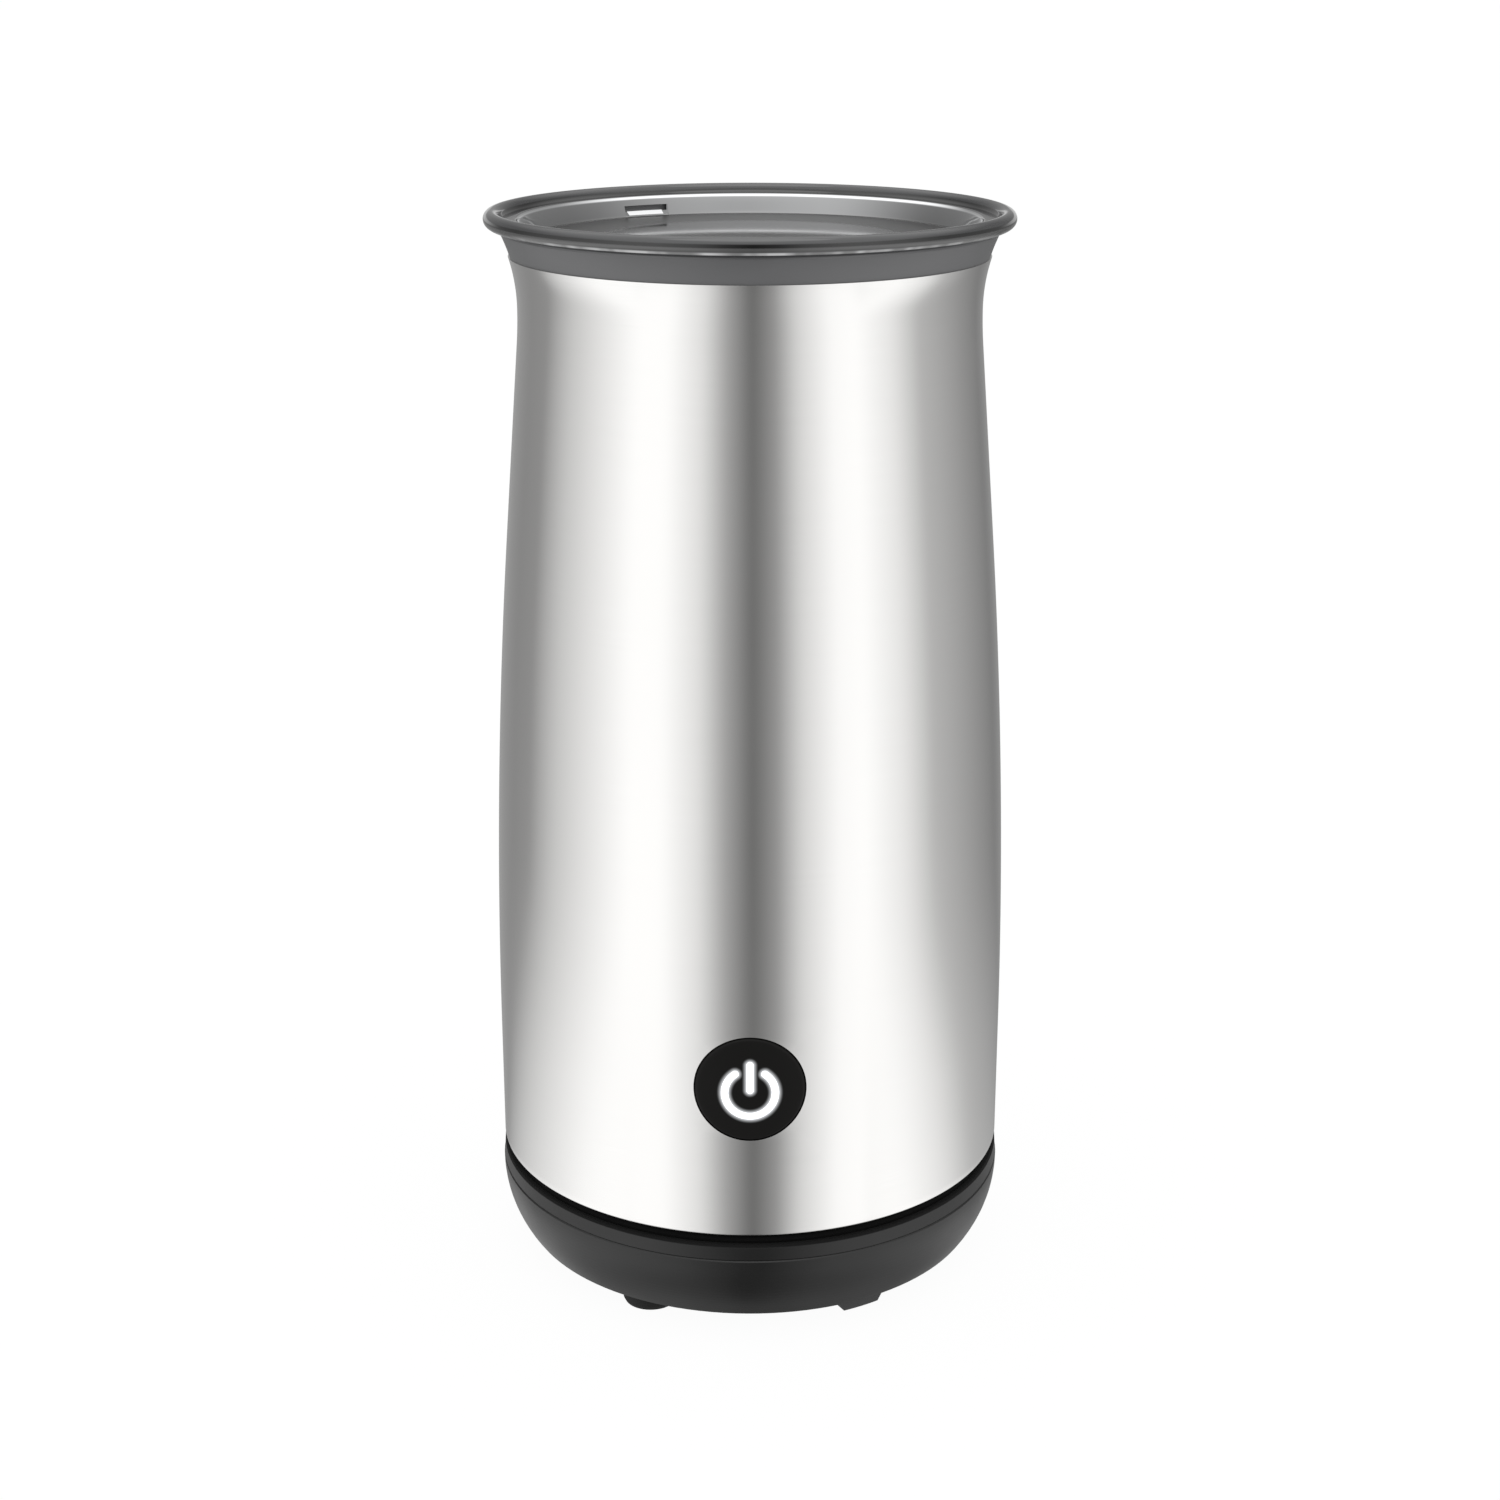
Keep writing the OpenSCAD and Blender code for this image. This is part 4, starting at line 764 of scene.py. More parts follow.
hem = arc(STEEL_R - HEM_R, STEEL_Z0 + HEM_R, HEM_R, -90, 0, 7)
heights = np.concatenate([
    np.linspace(STEEL_Z0 + HEM_R + 1, BUTTON_Z - WINDOW_ROOM, 7),
    np.linspace(BUTTON_Z - WINDOW_ROOM, BUTTON_Z + WINDOW_ROOM, 20)[1:],
    np.linspace(BUTTON_Z + WINDOW_ROOM, taper_z, 20)[1:],
    np.linspace(taper_z, hollow_z, 7)[1:],
    np.linspace(hollow_z, waist_z, 7)[1:],
    np.linspace(waist_z, STEEL_Z1, 10)[1:],
])
wall_r = np.concatenate([[STEEL_R - HEM_W], hem[:, 0], steel_out(heights)])
wall_z = np.concatenate([[STEEL_Z0], hem[:, 1], heights])
first = int(np.searchsorted(wall_z, BUTTON_Z - WINDOW_ROOM - 1e-6))
last = int(np.searchsorted(wall_z, BUTTON_Z + WINDOW_ROOM - 1e-6))
window = (BUTTON_Z, WINDOW_R, WINDOW_COLUMNS, first, last)
points, faces = windowed_wall(wall_r, wall_z, steel_out, window)
jacket = make(
    "steel_jacket", points, faces, "jug", "brushed_steel", finish["brushed_steel"], ["outer_sleeve"],
    thickness=STEEL_T, bevel=JACKET_BEVEL,
)

# %% [markdown]
# The polish needs to know which way is up on the sheet.  The UV map says so, in metres.  At the
# back the angle jumps by a whole turn, so each face takes its corners' angles near its first one's.

# %% Grain map
def grain_map(piece, radius):
    """UV map along the wall, in metres: u is the height and v the angle times a radius."""
    mesh = piece.data
    place = np.empty(len(mesh.vertices) * 3)
    mesh.vertices.foreach_get("co", place)
    place = place.reshape(-1, 3)
    corner = np.empty(len(mesh.loops), int)
    mesh.loops.foreach_get("vertex_index", corner)
    start = np.empty(len(mesh.polygons), int)
    count = np.empty(len(mesh.polygons), int)
    mesh.polygons.foreach_get("loop_start", start)
    mesh.polygons.foreach_get("loop_total", count)
    a = np.arctan2(place[corner, 0], -place[corner, 1])
    near = np.repeat(a[start], count)
    a = near + (a - near + math.pi) % (2 * math.pi) - math.pi
    flat = np.stack([place[corner, 2], a * radius * MM], axis=1)
    mesh.uv_layers.new(name="grain").data.foreach_set("uv", flat.ravel())


grain_map(jacket, STEEL_R)
print("grain map:", len(jacket.data.uv_layers), "layer, running up the wall")

# %% [markdown]
# ## The collar
#
# A ring of satin grey plastic carries the steel's flare on to the lid, standing a quarter of
# a millimetre behind the steel.  Its top edge is rounded and goes dark under the lid.  A skirt goes
# down inside the steel and holds the pot.  It is a turned part, so one closed outline makes all
# of it.

# %% Collar
collar_low, collar_high = span("rim_collar")
COLLAR_TOP = collar_high[2]
COLLAR_STEP = 0.27
COLLAR_EDGE = 0.55
SKIRT_T = 1.2
LEDGE_W = 2.0
FIT = 0.15
skirt_out = waist_r - STEEL_T - FIT
skirt_in = skirt_out - SKIRT_T
collar_in = skirt_in + LEDGE_W
ledge_z = STEEL_Z1 + 0.1
collar_top_r = float(steel_out(COLLAR_TOP)) - COLLAR_STEP

seat_z = np.linspace(waist_z + 1, STEEL_Z1, 8)
show_z = np.linspace(STEEL_Z1, COLLAR_TOP - COLLAR_EDGE - 0.2, 9)
seat = np.stack([steel_out(seat_z) - STEEL_T - FIT, seat_z, 0 * seat_z], axis=1)
show = np.stack([steel_out(show_z) - COLLAR_STEP, show_z, 0 * show_z], axis=1)
collar_outline = rounded(np.vstack([
    [[collar_in, ledge_z, 0], [skirt_in, ledge_z, 0.1], [skirt_in, collar_low[2], 0.2],
     [skirt_out - 0.1, collar_low[2], 0.3]],
    seat,
    show,
    [[collar_top_r, COLLAR_TOP, COLLAR_EDGE], [collar_in, COLLAR_TOP, 0.4]],
]))
lathe("grey_collar", collar_outline, "jug", "collar_plastic", finish["collar_plastic"], ["rim_collar"])

# %% [markdown]
# ## The lid
#
# The lid is moulded in smoke-grey, slightly see-through plastic and polished.  Its middle is
# sunk, so that it can be stacked and drips stay on it, and round its edge runs a thick bead to
# lift it by.  In the wall of the sunk middle there is one steam slot with a sloping sill, which
# lets drips run back.  The outline is drawn as corners and arcs; for the slot, the cells between a
# few columns are left out of the inner and the outer wall, and four short walls join the two
# openings.

# %% Lid measures
lid_low, lid_high = span("lid")
BEAD_T = 1.42
RECESS_D = 3.6
EDGE_R = 1.0
SLOT_ANGLE = 119.6
SLOT_FOOT = 0.1
SLOT_H = 1.9
SILL_H = 0.85

bead_z = lid_high[2] - BEAD_T
bead_r = lid_high[0] - BEAD_T
recess_r = skirt_out - 0.1
floor_z = bead_z - RECESS_D
print(f"lid: bead round {bead_r:.1f} mm at {bead_z:.1f} mm, sunk middle of radius {recess_r:.1f} mm")

# %% [markdown]
# The lid's smoke-grey plastic is a little see-through.  Real transmission would cost much time for a
# small effect, so its colour depends on the place instead, and light is painted into it: dark over the
# pot, where the wall is thin, lighter on top of the thick bead, and lower on the bead painted bands of
# reflection.  The middle of the floor is as smooth as the mould's polished face, and towards the wall
# it grows satin, which blurs what it mirrors.

# %% Smoke plastic
BEAD_PAINTED_BANDS = bead_z + np.array([-0.22, 0.03, 0.38, 0.58])
DARK_TO_LIGHT = recess_r + np.array([-1.59, 0.81])
SATIN, SATIN_START = 0.26, (24.0, 28.0)
SATIN_STOP = recess_r + np.array([-1.29, -0.89])
POLISH = (0.05, 0.08)


def smoke_grey_with_painted_bands(tree, reach, height, cloud):
    """Colour of the lid, with painted light in it: dark over the pot, and on the thick bead painted
    bands: a lighter top, which stands in for light through the bead and for its highlight, a nearly
    black painted reflection just above the bead's middle, and a paler painted reflection below it."""
    dark = blend(tree, cloud, grey(0.016), grey(0.022))
    light = blend(tree, cloud, (0.040, 0.0405, 0.042, 1), (0.050, 0.0505, 0.052, 1))
    # Painted light on the bead: a nearly black painted reflection just above its middle, a paler painted
    # reflection below it, and a painted highlight as the lighter colour on top.
    shade = blend(tree, band(tree, height, *BEAD_PAINTED_BANDS[:2], 1.0, 0.0), grey(0.004), grey(0.08))
    bead = blend(tree, band(tree, height, *BEAD_PAINTED_BANDS[2:]), shade, light)
    return blend(tree, band(tree, reach, *DARK_TO_LIGHT), dark, bead)


finish["lid_plastic"], smoke_tree, smoke = principled("smoke_plastic_painted_light")
place = object_place(smoke_tree)
lid_x, lid_y, height = in_mm(smoke_tree, place)
reach = distance(smoke_tree, lid_x, lid_y)
cloud = noise(smoke_tree, place, 60.0)
satin_in = band(smoke_tree, reach, *SATIN_START, 0.0, SATIN)
satin = product(smoke_tree, satin_in, band(smoke_tree, reach, *SATIN_STOP, 1.0, 0.0))
lid_gloss = calc(smoke_tree, "ADD", scaled(smoke_tree, cloud, *NOISE_RANGE, *POLISH), satin)
smoke_tree.links.new(smoke_grey_with_painted_bands(smoke_tree, reach, height, cloud), smoke.inputs["Base Color"])
smoke_tree.links.new(lid_gloss, smoke.inputs["Roughness"])
smoke.inputs["IOR"].default_value = 1.58
print("smoke plastic: index", round(smoke.inputs["IOR"].default_value, 2))

# %% [markdown]
# Light that has entered clear plastic runs along inside it, mirrored from wall to wall, and
# leaves where the shape turns sharply.  That is why the rounded edge of the sunk middle shows as
# a thin white line, strongest at the back, and the wall under it is lighter there; a fainter,
# broken line runs below the bead.  Tracing such light takes thousands of samples, so the plastic
# glows a little by itself at those places, which a formula of radius, height and angle picks out.
# This glow is painted light: it stands in for that light and for the highlights on these edges.

# %% Places on the lid
def near_ring(tree, reach, height, ring, width):
    """1 on a ring round the axis and 0 beyond a short way, by sqrt((r - R)^2 + (z - Z)^2)."""
    out, up = calc(tree, "SUBTRACT", reach, ring[0]), calc(tree, "SUBTRACT", height, ring[1])
    return band(tree, distance(tree, out, up), *width, 1.0, 0.0)


def between(tree, turn, angles, least):
    """1 between the two middle angles, least beyond the two outer ones."""
    high_end, high, low, low_end = angles
    falls = band(tree, turn, high, high_end, 1.0, least)
    return product(tree, falls, band(tree, turn, low_end, low, least, 1.0))


edge_ring = arc(recess_r + EDGE_R, bead_z - EDGE_R, EDGE_R, 135, 135, 0)[0]
bead_ring = arc(bead_r, bead_z, BEAD_T, -50, -50, 0)[0]
for name, ring in (("edge", edge_ring), ("bead", bead_ring)):
    print(f"light line on the {name}: radius {ring[0]:.2f} mm, {ring[1]:.2f} mm up")

# %% [markdown]
# Each light is a product of such places and a strength.  The two lines are added.  The wall and
# the sill overlap, so the brighter of the two counts.

# %% Painted light inside the lid
LIT_RING = (0.12, 0.44)
EDGE_GLOW, EDGE_TURN, EDGE_LEAST = 0.95, (152, 120, 40, 14), 0.14
BEAD_RING = (0.18, 0.48)
BEAD_GLOW, BEAD_TURN, BEAD_LEAST = 0.42, (-30, -62, -118, -150), 0.2
WALL_GLOW, WALL_TURN, WALL_LEAST = 0.33, (150, 85, 70, 34), 0.25
WALL_IN, WALL_OUT = recess_r + np.array([-1.04, -0.84]), recess_r + np.array([0.21, 0.36])
WALL_FOOT = floor_z + 0.13
SILL_HALF = 5.2
SILL_LOW, SILL_TOP = floor_z + 0.33, floor_z + SLOT_FOOT + SILL_H + 0.08
PATCHES, PATCH_EDGE, PATCH_LEAST = 0.11, (0.40, 0.62), 0.25


def lit_lines(tree, reach, height, turn):
    """The painted light line along the rounded edge of the sunk middle, and the broken one under the bead.
    """
    patches = add(
        tree, "TexNoise", {"W": turn, "Scale": PATCHES, "Detail": 2.0}, noise_dimensions="1D",
    ).outputs["Fac"]
    broken = band(tree, patches, *PATCH_EDGE, PATCH_LEAST, 1.0)
    at_edge = near_ring(tree, reach, height, edge_ring, LIT_RING)
    at_bead = near_ring(tree, reach, height, bead_ring, BEAD_RING)
    edge = product(tree, at_edge, between(tree, turn, EDGE_TURN, EDGE_LEAST), EDGE_GLOW)
    bead = product(tree, at_bead, broken, between(tree, turn, BEAD_TURN, BEAD_LEAST), BEAD_GLOW)
    return calc(tree, "ADD", edge, bead)


def lit_wall(tree, reach, height, turn):
    """The painted glow of the wall of the sunk middle and of the slot's sill, whichever is brighter."""
    wall = product(
        tree, band(tree, reach, *WALL_IN), band(tree, reach, *WALL_OUT, 1.0, 0.0),
        calc(tree, "GREATER_THAN", height, WALL_FOOT),
        between(tree, turn, WALL_TURN, WALL_LEAST), WALL_GLOW,
    )
    off = calc(tree, "ABSOLUTE", calc(tree, "SUBTRACT", turn, SLOT_ANGLE))
    sill = product(
        tree, calc(tree, "LESS_THAN", off, SILL_HALF), calc(tree, "GREATER_THAN", height, SILL_LOW),
        calc(tree, "LESS_THAN", height, SILL_TOP), calc(tree, "GREATER_THAN", reach, WALL_IN[0]), EDGE_GLOW,
    )
    return calc(tree, "MAXIMUM", wall, sill)


turn = calc(smoke_tree, "MULTIPLY", calc(smoke_tree, "ARCTAN2", lid_y, lid_x), 180 / math.pi)
lights = [part(smoke_tree, reach, height, turn) for part in (lit_lines, lit_wall)]
smoke_tree.links.new(calc(smoke_tree, "ADD", *lights), smoke.inputs["Emission Strength"])
smoke.inputs["Emission Color"].default_value = (0.93, 0.94, 0.95, 1.0)
print("light inside the lid: edge line", EDGE_GLOW, "wall", WALL_GLOW)

# %% [markdown]
# Now its shape.  Inside and outside are one outline, so that the wall is as thick as the real
# one; the rows at the slot's heights are remembered, for the opening.

# %% Lid outline
LID_T = 1.0
FOOT_R = 0.35
WALL_LEAN = 0.8
WALL_GAP = 0.5
SEAL_T, SEAL_ROOM = 1.3, 1.0

under_z = floor_z - LID_T
carrier_r = skirt_in - FIT - SEAL_ROOM - SEAL_T
outer_r = collar_in - WALL_GAP
lean_a = math.atan2(WALL_LEAN, RECESS_D - EDGE_R)
foot_r = recess_r - WALL_LEAN
slot_z = floor_z + SLOT_FOOT + np.linspace(0, SLOT_H, 6)


def recess_wall(z):
    """Radius of the sunk middle's wall at height z: a fillet at the floor, and from the height
    where it has turned far enough a straight wall that leans outwards."""
    start = floor_z + FOOT_R * (1 - math.sin(lean_a))
    fillet = np.sqrt(FOOT_R ** 2 - np.clip(floor_z + FOOT_R - np.minimum(z, start), 0, FOOT_R) ** 2)
    return foot_r - FOOT_R + fillet + np.clip(z - start, 0, None) * math.tan(lean_a)


def lid_outline():
    """The outline in blocks, from the middle of the floor over the bead to the underside, and
    the rows of the inner and the outer wall that lie at the heights of the slot."""
    wall_z = np.concatenate([floor_z + SLOT_FOOT * np.array([0.1, 0.4]), slot_z, [bead_z - EDGE_R - 0.2]])
    blocks = [
        np.stack([np.linspace(0, foot_r - FOOT_R - 0.3, 8), np.full(8, floor_z)], axis=1),
        np.stack([recess_wall(wall_z), wall_z], axis=1),
        arc(recess_r + EDGE_R, bead_z - EDGE_R, EDGE_R, 180 - math.degrees(lean_a), 90, 12)[:, :2],
        np.array([[recess_r + EDGE_R + 0.8, bead_z], [bead_r - BEAD_T - 0.4, bead_z]]),
        arc(bead_r, bead_z, BEAD_T, 165, -90, 36)[:, :2],
        np.array([[outer_r + 0.3, COLLAR_TOP], [outer_r, COLLAR_TOP - 0.1]]),
        np.stack([np.full(len(slot_z), outer_r), slot_z[::-1]], axis=1),
        np.array([
            [outer_r, under_z + 0.5], [outer_r - 0.5, under_z], [carrier_r + 0.2, under_z],
            [carrier_r, under_z - 0.2], [carrier_r, lid_low[2] + 0.7], [carrier_r + 0.4, lid_low[2] + 0.6],
            [carrier_r + 0.2, lid_low[2]], [carrier_r - 1.2, lid_low[2]], [carrier_r - 1.2, under_z],
            [0, under_z],
        ]),
    ]
    start = np.cumsum([0] + [len(block) for block in blocks])
    inner = start[1] + 2 + np.arange(len(slot_z))
    outer = start[6] + np.arange(len(slot_z))[::-1]
    return np.vstack(blocks), inner, outer


outline, inner_rows, outer_rows = lid_outline()
print("lid outline:", len(outline), "points")

# %% [markdown]
# Carried round the axis the outline gives a grid.  The slot's cells are left out of both walls,
# four strips join the two openings, and the sill is lifted at its outer end.

# %% Lid
LID_SIDES = 384
SLOT_SIDE = 7

a = np.radians(SLOT_ANGLE) + np.linspace(-math.pi, math.pi, LID_SIDES, endpoint=False)[:, None]
lid_points = np.stack([
    outline[:, 0] * np.cos(a), outline[:, 0] * np.sin(a), outline[:, 1] + 0 * a,
], axis=-1)
number = np.arange(LID_SIDES * len(outline)).reshape(LID_SIDES, -1)
left, right = LID_SIDES // 2 - SLOT_SIDE, LID_SIDES // 2 + SLOT_SIDE
sill = number[left:right + 1, outer_rows[0]]
lid_points.reshape(-1, 3)[sill, 2] += SILL_H
inside = round_window(number, left, right, inner_rows)
outside = round_window(number, left, right, outer_rows)
tunnel = np.stack([inside, np.roll(inside, -1), np.roll(outside, -1), outside], axis=1)
faces = quads(LID_SIDES, len(outline), wrap_rows=True)
column, row = np.divmod(faces[:, 0], len(outline))
in_rows = [(row >= rows.min()) & (row < rows.max()) for rows in (inner_rows, outer_rows)]
in_slot = (column >= left) & (column < right) & (in_rows[0] | in_rows[1])
lid_faces = np.vstack([faces[~in_slot], tunnel])
make("smoke_lid", lid_points, lid_faces, "lid", "lid_plastic", finish["lid_plastic"], ["lid"], closed=True)

# %% [markdown]
# ## The button and its lit symbol
#
# The button is a near-black disc, bent to the roundness of the jug so that it looks cut from
# the same skin, with its rim rolled back.  Behind it sits a small lamp: the power symbol is a
# window of white plastic, and a little light leaks round its edge.  The strokes are their own
# piece, and the leak is painted by the button's material, from the distance to the nearest
# stroke, which can be written as a formula because the symbol is an arc and a bar.

# %% A flat stroke
FACE_R = -button_low[1]
STROKE_LIFT = 0.03


def stroke(path, along, width, ends=7):
    """A flat ribbon with round ends on the button's face.  It is a grid of steps along the path
    and across it; beyond an end the ribbon goes on straight and its half width follows
    sqrt(w^2 - d^2), with d the distance from the end."""
    half = width / 2
    d = half * np.sin(np.linspace(0, math.pi / 2, ends + 1))[1:, None]
    head, tail = path[:1] - along[:1] * d[::-1], path[-1:] + along[-1:] * d
    middle = np.vstack([head, path, tail])
    ahead = np.vstack([np.repeat(along[:1], ends, 0), along, np.repeat(along[-1:], ends, 0)])
    rim = np.sqrt(np.clip(half ** 2 - d ** 2, 0, None)).ravel()
    reach = np.concatenate([rim[::-1], np.full(len(path), half), rim])[:, None]
    across = np.array([-1, -0.92, -0.6, 0, 0.6, 0.92, 1.0])
    lift = np.array([-0.06, 0.02, 1, 1, 1, 0.02, -0.06]) * STROKE_LIFT
    x = middle[:, :1] - ahead[:, 1:] * reach * across
    z = middle[:, 1:] + ahead[:, :1] * reach * across
    y = -np.sqrt((FACE_R + lift) ** 2 - x ** 2)
    return np.stack([x, y, z + BUTTON_Z], axis=-1), quads(len(middle), len(across))


print(f"stroke: a ribbon {STROKE_LIFT} mm proud of a face of radius {FACE_R:.1f} mm")

# %% [markdown]
# The symbol is an arc with a gap at its top, given as two angles, and a bar that stands in the gap.
# Each needs its path and the direction along it.

# %% Symbol strokes
SYMBOL_R = 4.3
SYMBOL_DROP = 0.52
SYMBOL_GAP = 36.0
BAR_LOW = -0.01
BAR_TOP = 4.6
STROKE_W = 1.3

turn = np.radians(np.linspace(90 + SYMBOL_GAP, 450 - SYMBOL_GAP, 72))
ring_path = np.stack([SYMBOL_R * np.cos(turn), SYMBOL_R * np.sin(turn) - SYMBOL_DROP], axis=1)
ring_along = np.stack([-np.sin(turn), np.cos(turn)], axis=1)
bar_path = np.stack([np.zeros(9), np.linspace(BAR_LOW, BAR_TOP, 9)], axis=1)
bar_along = np.tile([[0.0, 1.0]], (9, 1))
ring_points, ring_faces = stroke(ring_path, ring_along, STROKE_W)
bar_points, bar_faces = stroke(bar_path, bar_along, STROKE_W)
strokes = np.vstack([ring_points.reshape(-1, 3), bar_points.reshape(-1, 3)])
stroke_faces = np.vstack([ring_faces, bar_faces + ring_points[..., 0].size])[:, ::-1]
make("power_light", strokes, stroke_faces, "button", "light_white", finish["light_white"], ["power_symbol"])

# %% [markdown]
# The leak of light: the distance to the nearest stroke is worked out by nodes, and the glow falls
# with the square of what is left of a short reach.

# %% Button with a halo
GLOW_REACH = 0.75
GLOW_CORE = 0.7


def halo(tree, place):
    """1 on the strokes of the power symbol, falling to 0 within a short reach.  On the sides of the
    arc the distance is | |p| - R |; in its gap it is the distance to the nearer end; for the
    bar it is the distance to a segment.  The smaller of the arc's and the bar's counts."""
    def step(kind, a, b=0.0):
        return calc(tree, kind, a, b)

    gap_sin, gap_cos = math.sin(math.radians(SYMBOL_GAP)), math.cos(math.radians(SYMBOL_GAP))
    side, _, up = in_mm(tree, place)
    x = step("ABSOLUTE", side)
    z = step("SUBTRACT", up, BUTTON_Z)
    up = step("ADD", z, SYMBOL_DROP)
    reach = distance(tree, x, up)
    on_arc = step("ABSOLUTE", step("SUBTRACT", reach, SYMBOL_R))
    past_x, past_up = step("SUBTRACT", x, SYMBOL_R * gap_sin), step("SUBTRACT", up, SYMBOL_R * gap_cos)
    to_end = distance(tree, past_x, past_up)
    in_gap = step("GREATER_THAN", up, step("MULTIPLY", reach, gap_cos))
    beside = step("MULTIPLY", step("SUBTRACT", 1.0, in_gap), on_arc)
    arc_far = step("ADD", step("MULTIPLY", in_gap, to_end), beside)
    nearest = step("MINIMUM", step("MAXIMUM", z, BAR_LOW), BAR_TOP)
    bar_far = distance(tree, x, step("SUBTRACT", z, nearest))
    far = step("MINIMUM", arc_far, bar_far)
    return step("POWER", scaled(tree, far, STROKE_W / 2, STROKE_W / 2 + GLOW_REACH, 1.0, 0.0), 2.0)


lit_button = moulded("lit_button", (0.004, 0.0037, 0.0033), 0.52, shine=0.14)
finish["button_plastic"] = lit_button
tree = lit_button.node_tree
button_shader = tree.nodes["Principled BSDF"]
leak = product(tree, halo(tree, object_place(tree)), GLOW_CORE)
tree.links.new(leak, button_shader.inputs["Emission Strength"])
button_shader.inputs["Emission Color"].default_value = (0.95, 0.97, 1.0, 1.0)
print("halo: reaches", GLOW_REACH, "mm from a stroke")

# %% [markdown]
# The cap is a grid of rings and angles laid on the jug's roundness: a flat middle, a rolled rim
# and a short skirt.

# %% Button
CAP_EDGE = 0.5
CAP_SIDES = 128
CAP_T = 1.2
flat = np.linspace(0, BUTTON_R - CAP_EDGE, 14)
roll = np.radians(np.linspace(0, 90, 7))[1:]
side = np.array([1.5, 3.0])
cap_rho = np.concatenate([flat, BUTTON_R - CAP_EDGE + CAP_EDGE * np.sin(roll), BUTTON_R + 0 * side])
cap_back = np.concatenate([0 * flat, CAP_EDGE * (1 - np.cos(roll)), side])
angle = np.linspace(0, 2 * math.pi, CAP_SIDES, endpoint=False)[:, None]
x = cap_rho * np.cos(angle)
z = BUTTON_Z + cap_rho * np.sin(angle)
y = cap_back - np.sqrt(FACE_R ** 2 - x ** 2)
cap_faces = quads(CAP_SIDES, len(cap_rho), wrap_rows=True)[:, ::-1]
make(
    "button_cap_skin", np.stack([x, y, z], axis=-1), cap_faces, "button", "button_plastic", lit_button,
    ["button_cap"], sharp=60, thickness=CAP_T,
)

# %% [markdown]
# ## The guide behind the button
#
# The cap slides in a black guide that presses against the inside of the steel and stands with a
# foot on the chassis.  Only a hair-thin dark line of it shows, round the cap.  Its bore is round
# but its face is bent like the jug, so it is made as a closed outline of distance from the
# bore's axis and depth, carried round that axis, with the face's points laid on the jug's
# curve and the back's points on a plane.

# %% Button guide
guide_low, guide_high = span("button_guide")
GUIDE_BACK = -guide_high[1]
GUIDE_R = guide_high[0]
GUIDE_FACE = 1.1
GUIDE_WALL = 1.7
SHOULDER = 5.5
GUIDE_SIDES = 128

bore = BUTTON_R + 0.1
room = GUIDE_R - GUIDE_WALL
face_rho, face_in = np.array([
    [bore, 0.15], [bore + 0.15, 0], [GUIDE_R - 0.4, 0], [GUIDE_R - 0.1, 0.1], [GUIDE_R, 0.4],
]).T
back_rho, back_up = np.array([
    [GUIDE_R, 0.3], [GUIDE_R - 0.3, 0], [room + 0.1, 0], [room, 0.1], [room, SHOULDER - 0.1],
    [room - 0.1, SHOULDER], [bore, SHOULDER],
]).T
around = np.linspace(0, 2 * math.pi, GUIDE_SIDES, endpoint=False)[:, None]
face_y = GUIDE_FACE + face_in - np.sqrt(FACE_R ** 2 - (face_rho * np.cos(around)) ** 2)
back_y = -GUIDE_BACK - back_up + 0 * around
rho = np.concatenate([face_rho, back_rho])
ring = np.stack([
    rho * np.cos(around), np.concatenate([face_y, back_y], axis=1), BUTTON_Z + rho * np.sin(around),
], axis=-1)
print("guide: bore of", round(2 * bore, 2), "mm")

# %% [markdown]
# Its foot is a small block, a rounded plan lofted up in six rows: the outer rows shrink to a point, so
# that both ends are closed.

# %% Guide foot
FOOT_HALF_W = 5.0
FOOT_DEEP = 5.2
plan = rounded([
    [-FOOT_HALF_W, -FOOT_DEEP / 2, 0.5], [FOOT_HALF_W, -FOOT_DEEP / 2, 0.5],
    [FOOT_HALF_W, FOOT_DEEP / 2, 0.5], [-FOOT_HALF_W, FOOT_DEEP / 2, 0.5],
])
foot_low, foot_top = guide_low[2], BUTTON_Z - room - 0.2
share = np.array([0, 0.95, 1, 1, 0.95, 0])[:, None]
foot_z = np.array([foot_low, foot_low, foot_low + 0.3, foot_top - 0.3, foot_top, foot_top])[:, None]
foot = np.stack([
    share * plan[:, 0], share * plan[:, 1] - GUIDE_BACK - FOOT_DEEP / 2, foot_z + 0 * plan[:, 0],
], axis=-1)
ring_faces = quads(GUIDE_SIDES, len(rho), wrap_rows=True, wrap_columns=True)
foot_faces = quads(len(share), len(plan), wrap_columns=True) + ring[..., 0].size
guide_points = np.vstack([ring.reshape(-1, 3), foot.reshape(-1, 3)])
make(
    "button_guide_ring", guide_points, np.vstack([ring_faces, foot_faces]), "jug", "chassis_plastic",
    finish["guide_plastic"], ["button_guide"], closed=True,
)

# %% [markdown]
# ## The pot
#
# The pot is pressed from aluminium and coated against sticking.  Its rim is rolled outwards
# and rests on the collar's ledge; a steel pin stands in the middle of its floor for the whisk.

# %% Pot
pot_low, pot_high = span("inner_pot")
POT_T = 1.0
POT_RIM_T = 0.6
POT_CORNER = 7.0
PIN_HOLE_R = 2.0
pot_out = skirt_in - FIT
pot_in = pot_out - POT_T
rim_z = pot_high[2] - POT_RIM_T
rim_r = pot_high[0]
pot_under = pot_low[2]
pot_outline = rounded([
    [PIN_HOLE_R, pot_under + POT_T, 0], [pot_in, pot_under + POT_T, POT_CORNER], [pot_in, pot_high[2], 0.7],
    [rim_r, pot_high[2], 0.29], [rim_r, rim_z, 0.29], [pot_out, rim_z, 0.1],
    [pot_out, pot_under, POT_CORNER + POT_T], [PIN_HOLE_R, pot_under, 0],
], steps=12)
lathe("coated_pot", pot_outline, "jug", "pot_coating", finish["pot_coating"], ["inner_pot"], sides=192)

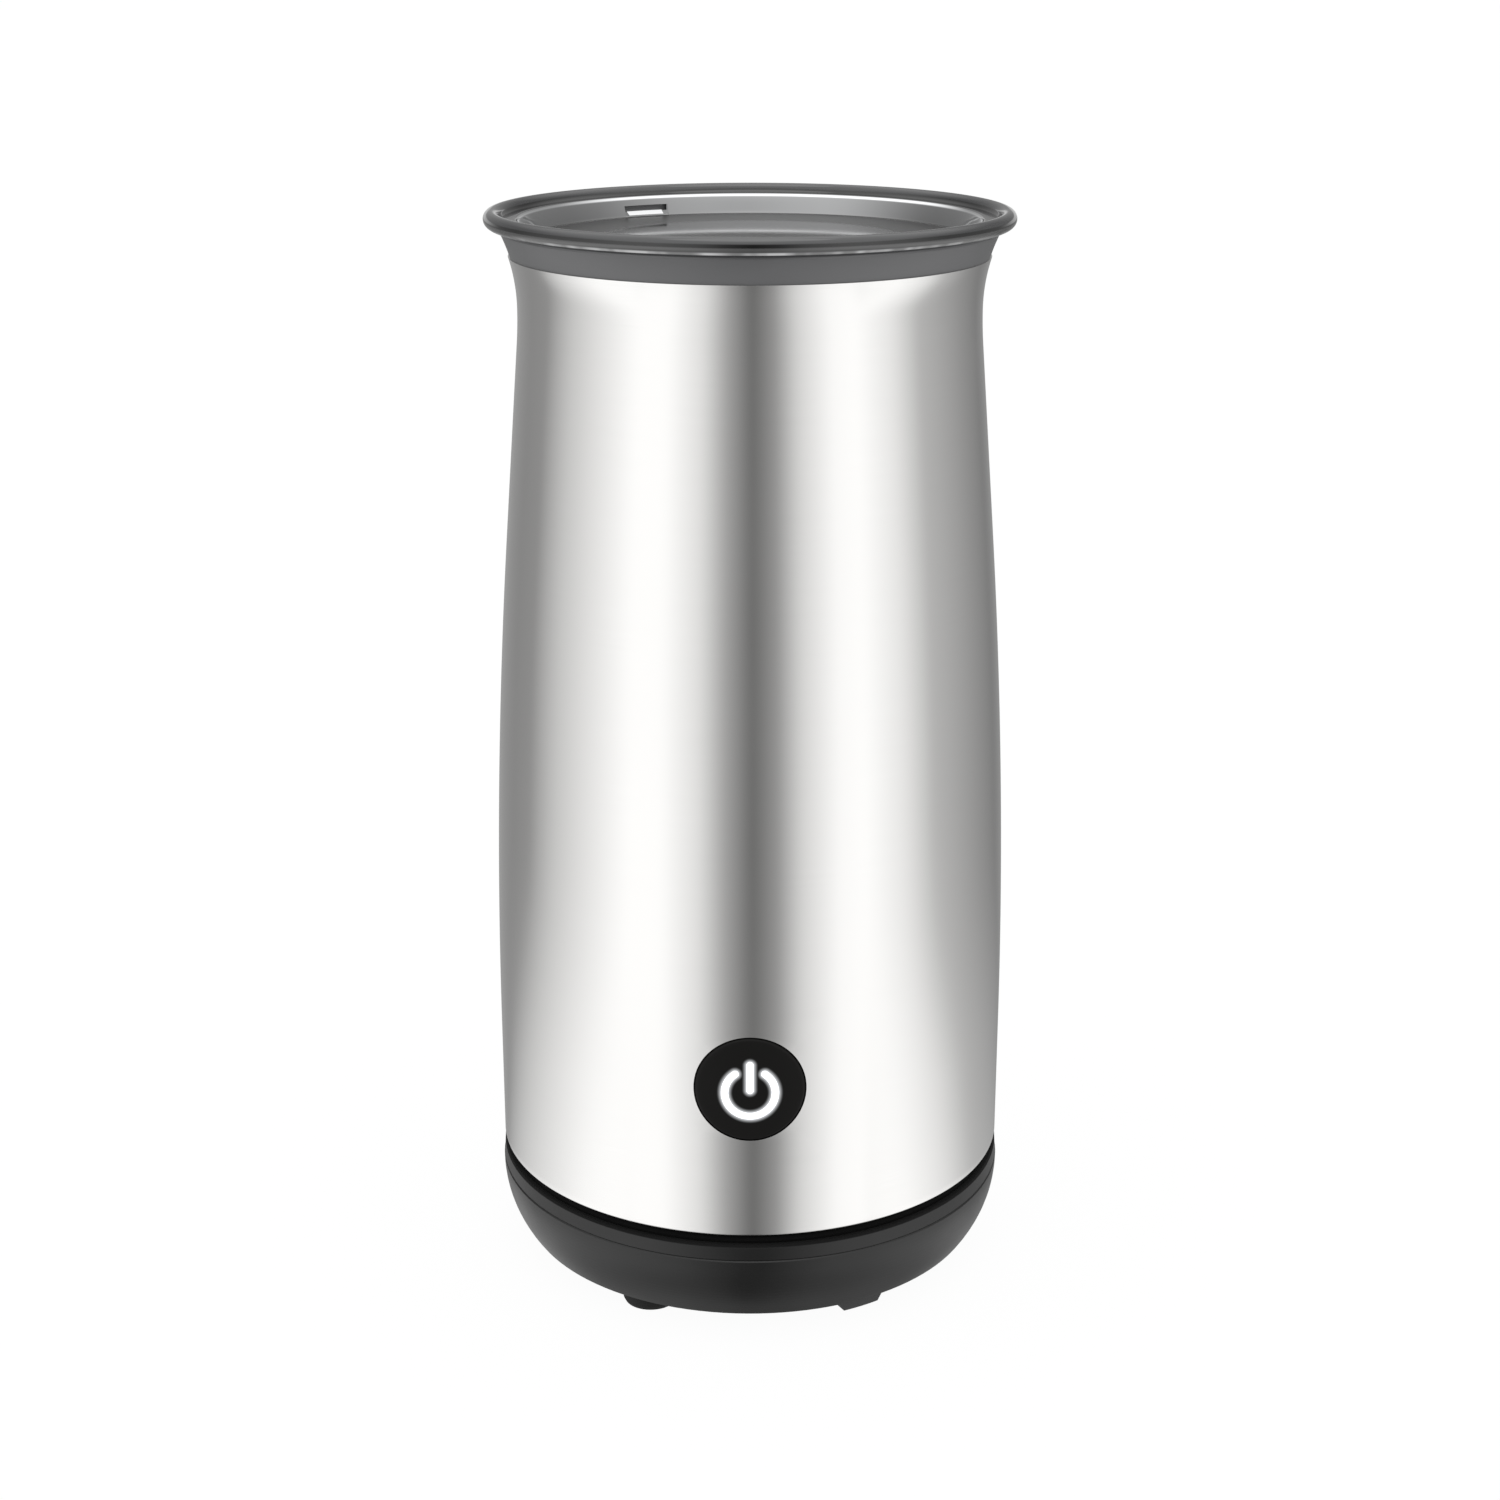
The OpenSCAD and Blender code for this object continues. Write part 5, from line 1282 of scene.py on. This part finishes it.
# %% [markdown]
# ## The whisk's spring
#
# The part that makes the foam is a long, thin spring bent into a ring round the wheel.  Its
# path is a circle that is carried round a larger circle: with one angle for the place on the
# ring and another, thirty times as fast, for the place on the turn.  A round section carried
# along that path makes the wire; the direction out of the turn is known at every point, so
# the section never twists.

# %% Whisk spring
coil_low, coil_high = span("whisk_coil")
WIRE_R = 0.5
TURN_R = (coil_high[2] - coil_low[2]) / 2 - WIRE_R
RING_R = coil_high[0] - TURN_R - WIRE_R
TURNS = 30
TURN_STEPS = 32
WIRE_SIDES = 14
coil_z = (coil_high[2] + coil_low[2]) / 2


def spring(turns, steps, sides):
    """Points of the wire: the path is ring + turn, and the section is spanned by the direction
    out of the turn and the one square to it and to the path."""
    s = np.linspace(0, 2 * math.pi, turns * steps, endpoint=False)
    flat_out = np.stack([np.cos(s), np.sin(s), 0 * s], axis=1)
    out = np.cos(turns * s)[:, None] * flat_out + np.sin(turns * s)[:, None] * np.array([0, 0, 1.0])
    path = RING_R * flat_out + TURN_R * out + np.array([0, 0, coil_z])
    along = np.roll(path, -1, axis=0) - np.roll(path, 1, axis=0)
    along /= np.linalg.norm(along, axis=1, keepdims=True)
    third = np.cross(along, out)
    third /= np.linalg.norm(third, axis=1, keepdims=True)
    second = np.cross(third, along)
    t = np.linspace(0, 2 * math.pi, sides, endpoint=False)
    section = np.cos(t)[None, :, None] * second[:, None] + np.sin(t)[None, :, None] * third[:, None]
    return path[:, None] + WIRE_R * section


coil_points = spring(TURNS, TURN_STEPS, WIRE_SIDES)
coil_faces = quads(len(coil_points), WIRE_SIDES, True, True)[:, ::-1]
make(
    "whisk_spring", coil_points, coil_faces, "whisk", "spring_steel", finish["spring_steel"],
    ["whisk_coil"], closed=True,
)

# %% [markdown]
# ## Finishes for the parts that keep their shape
#
# Everything else keeps the mesh of the mechanical model: screws, motor, circuit board,
# connector, feet.  The record names a finish for each of them, and the table `finish` holds them
# under the same names, so one loop dresses them all, and a part that has no finish would stop
# the script here.  Only the bottom cover, with its shadowed trim, gets one of its own.

# %% Finishes
own_finish = {"bottom_cover": "cover_plastic"}
slots = {part["node"]: part["material_slot"] for part in frame["record"]["subparts"]}
for name, part in nodes.items():
    part.data.materials.clear()
    part.data.materials.append(finish[own_finish.get(name, slots[name])])
print("dressed:", len(nodes), "parts in", len(set(slots.values())), "finishes")
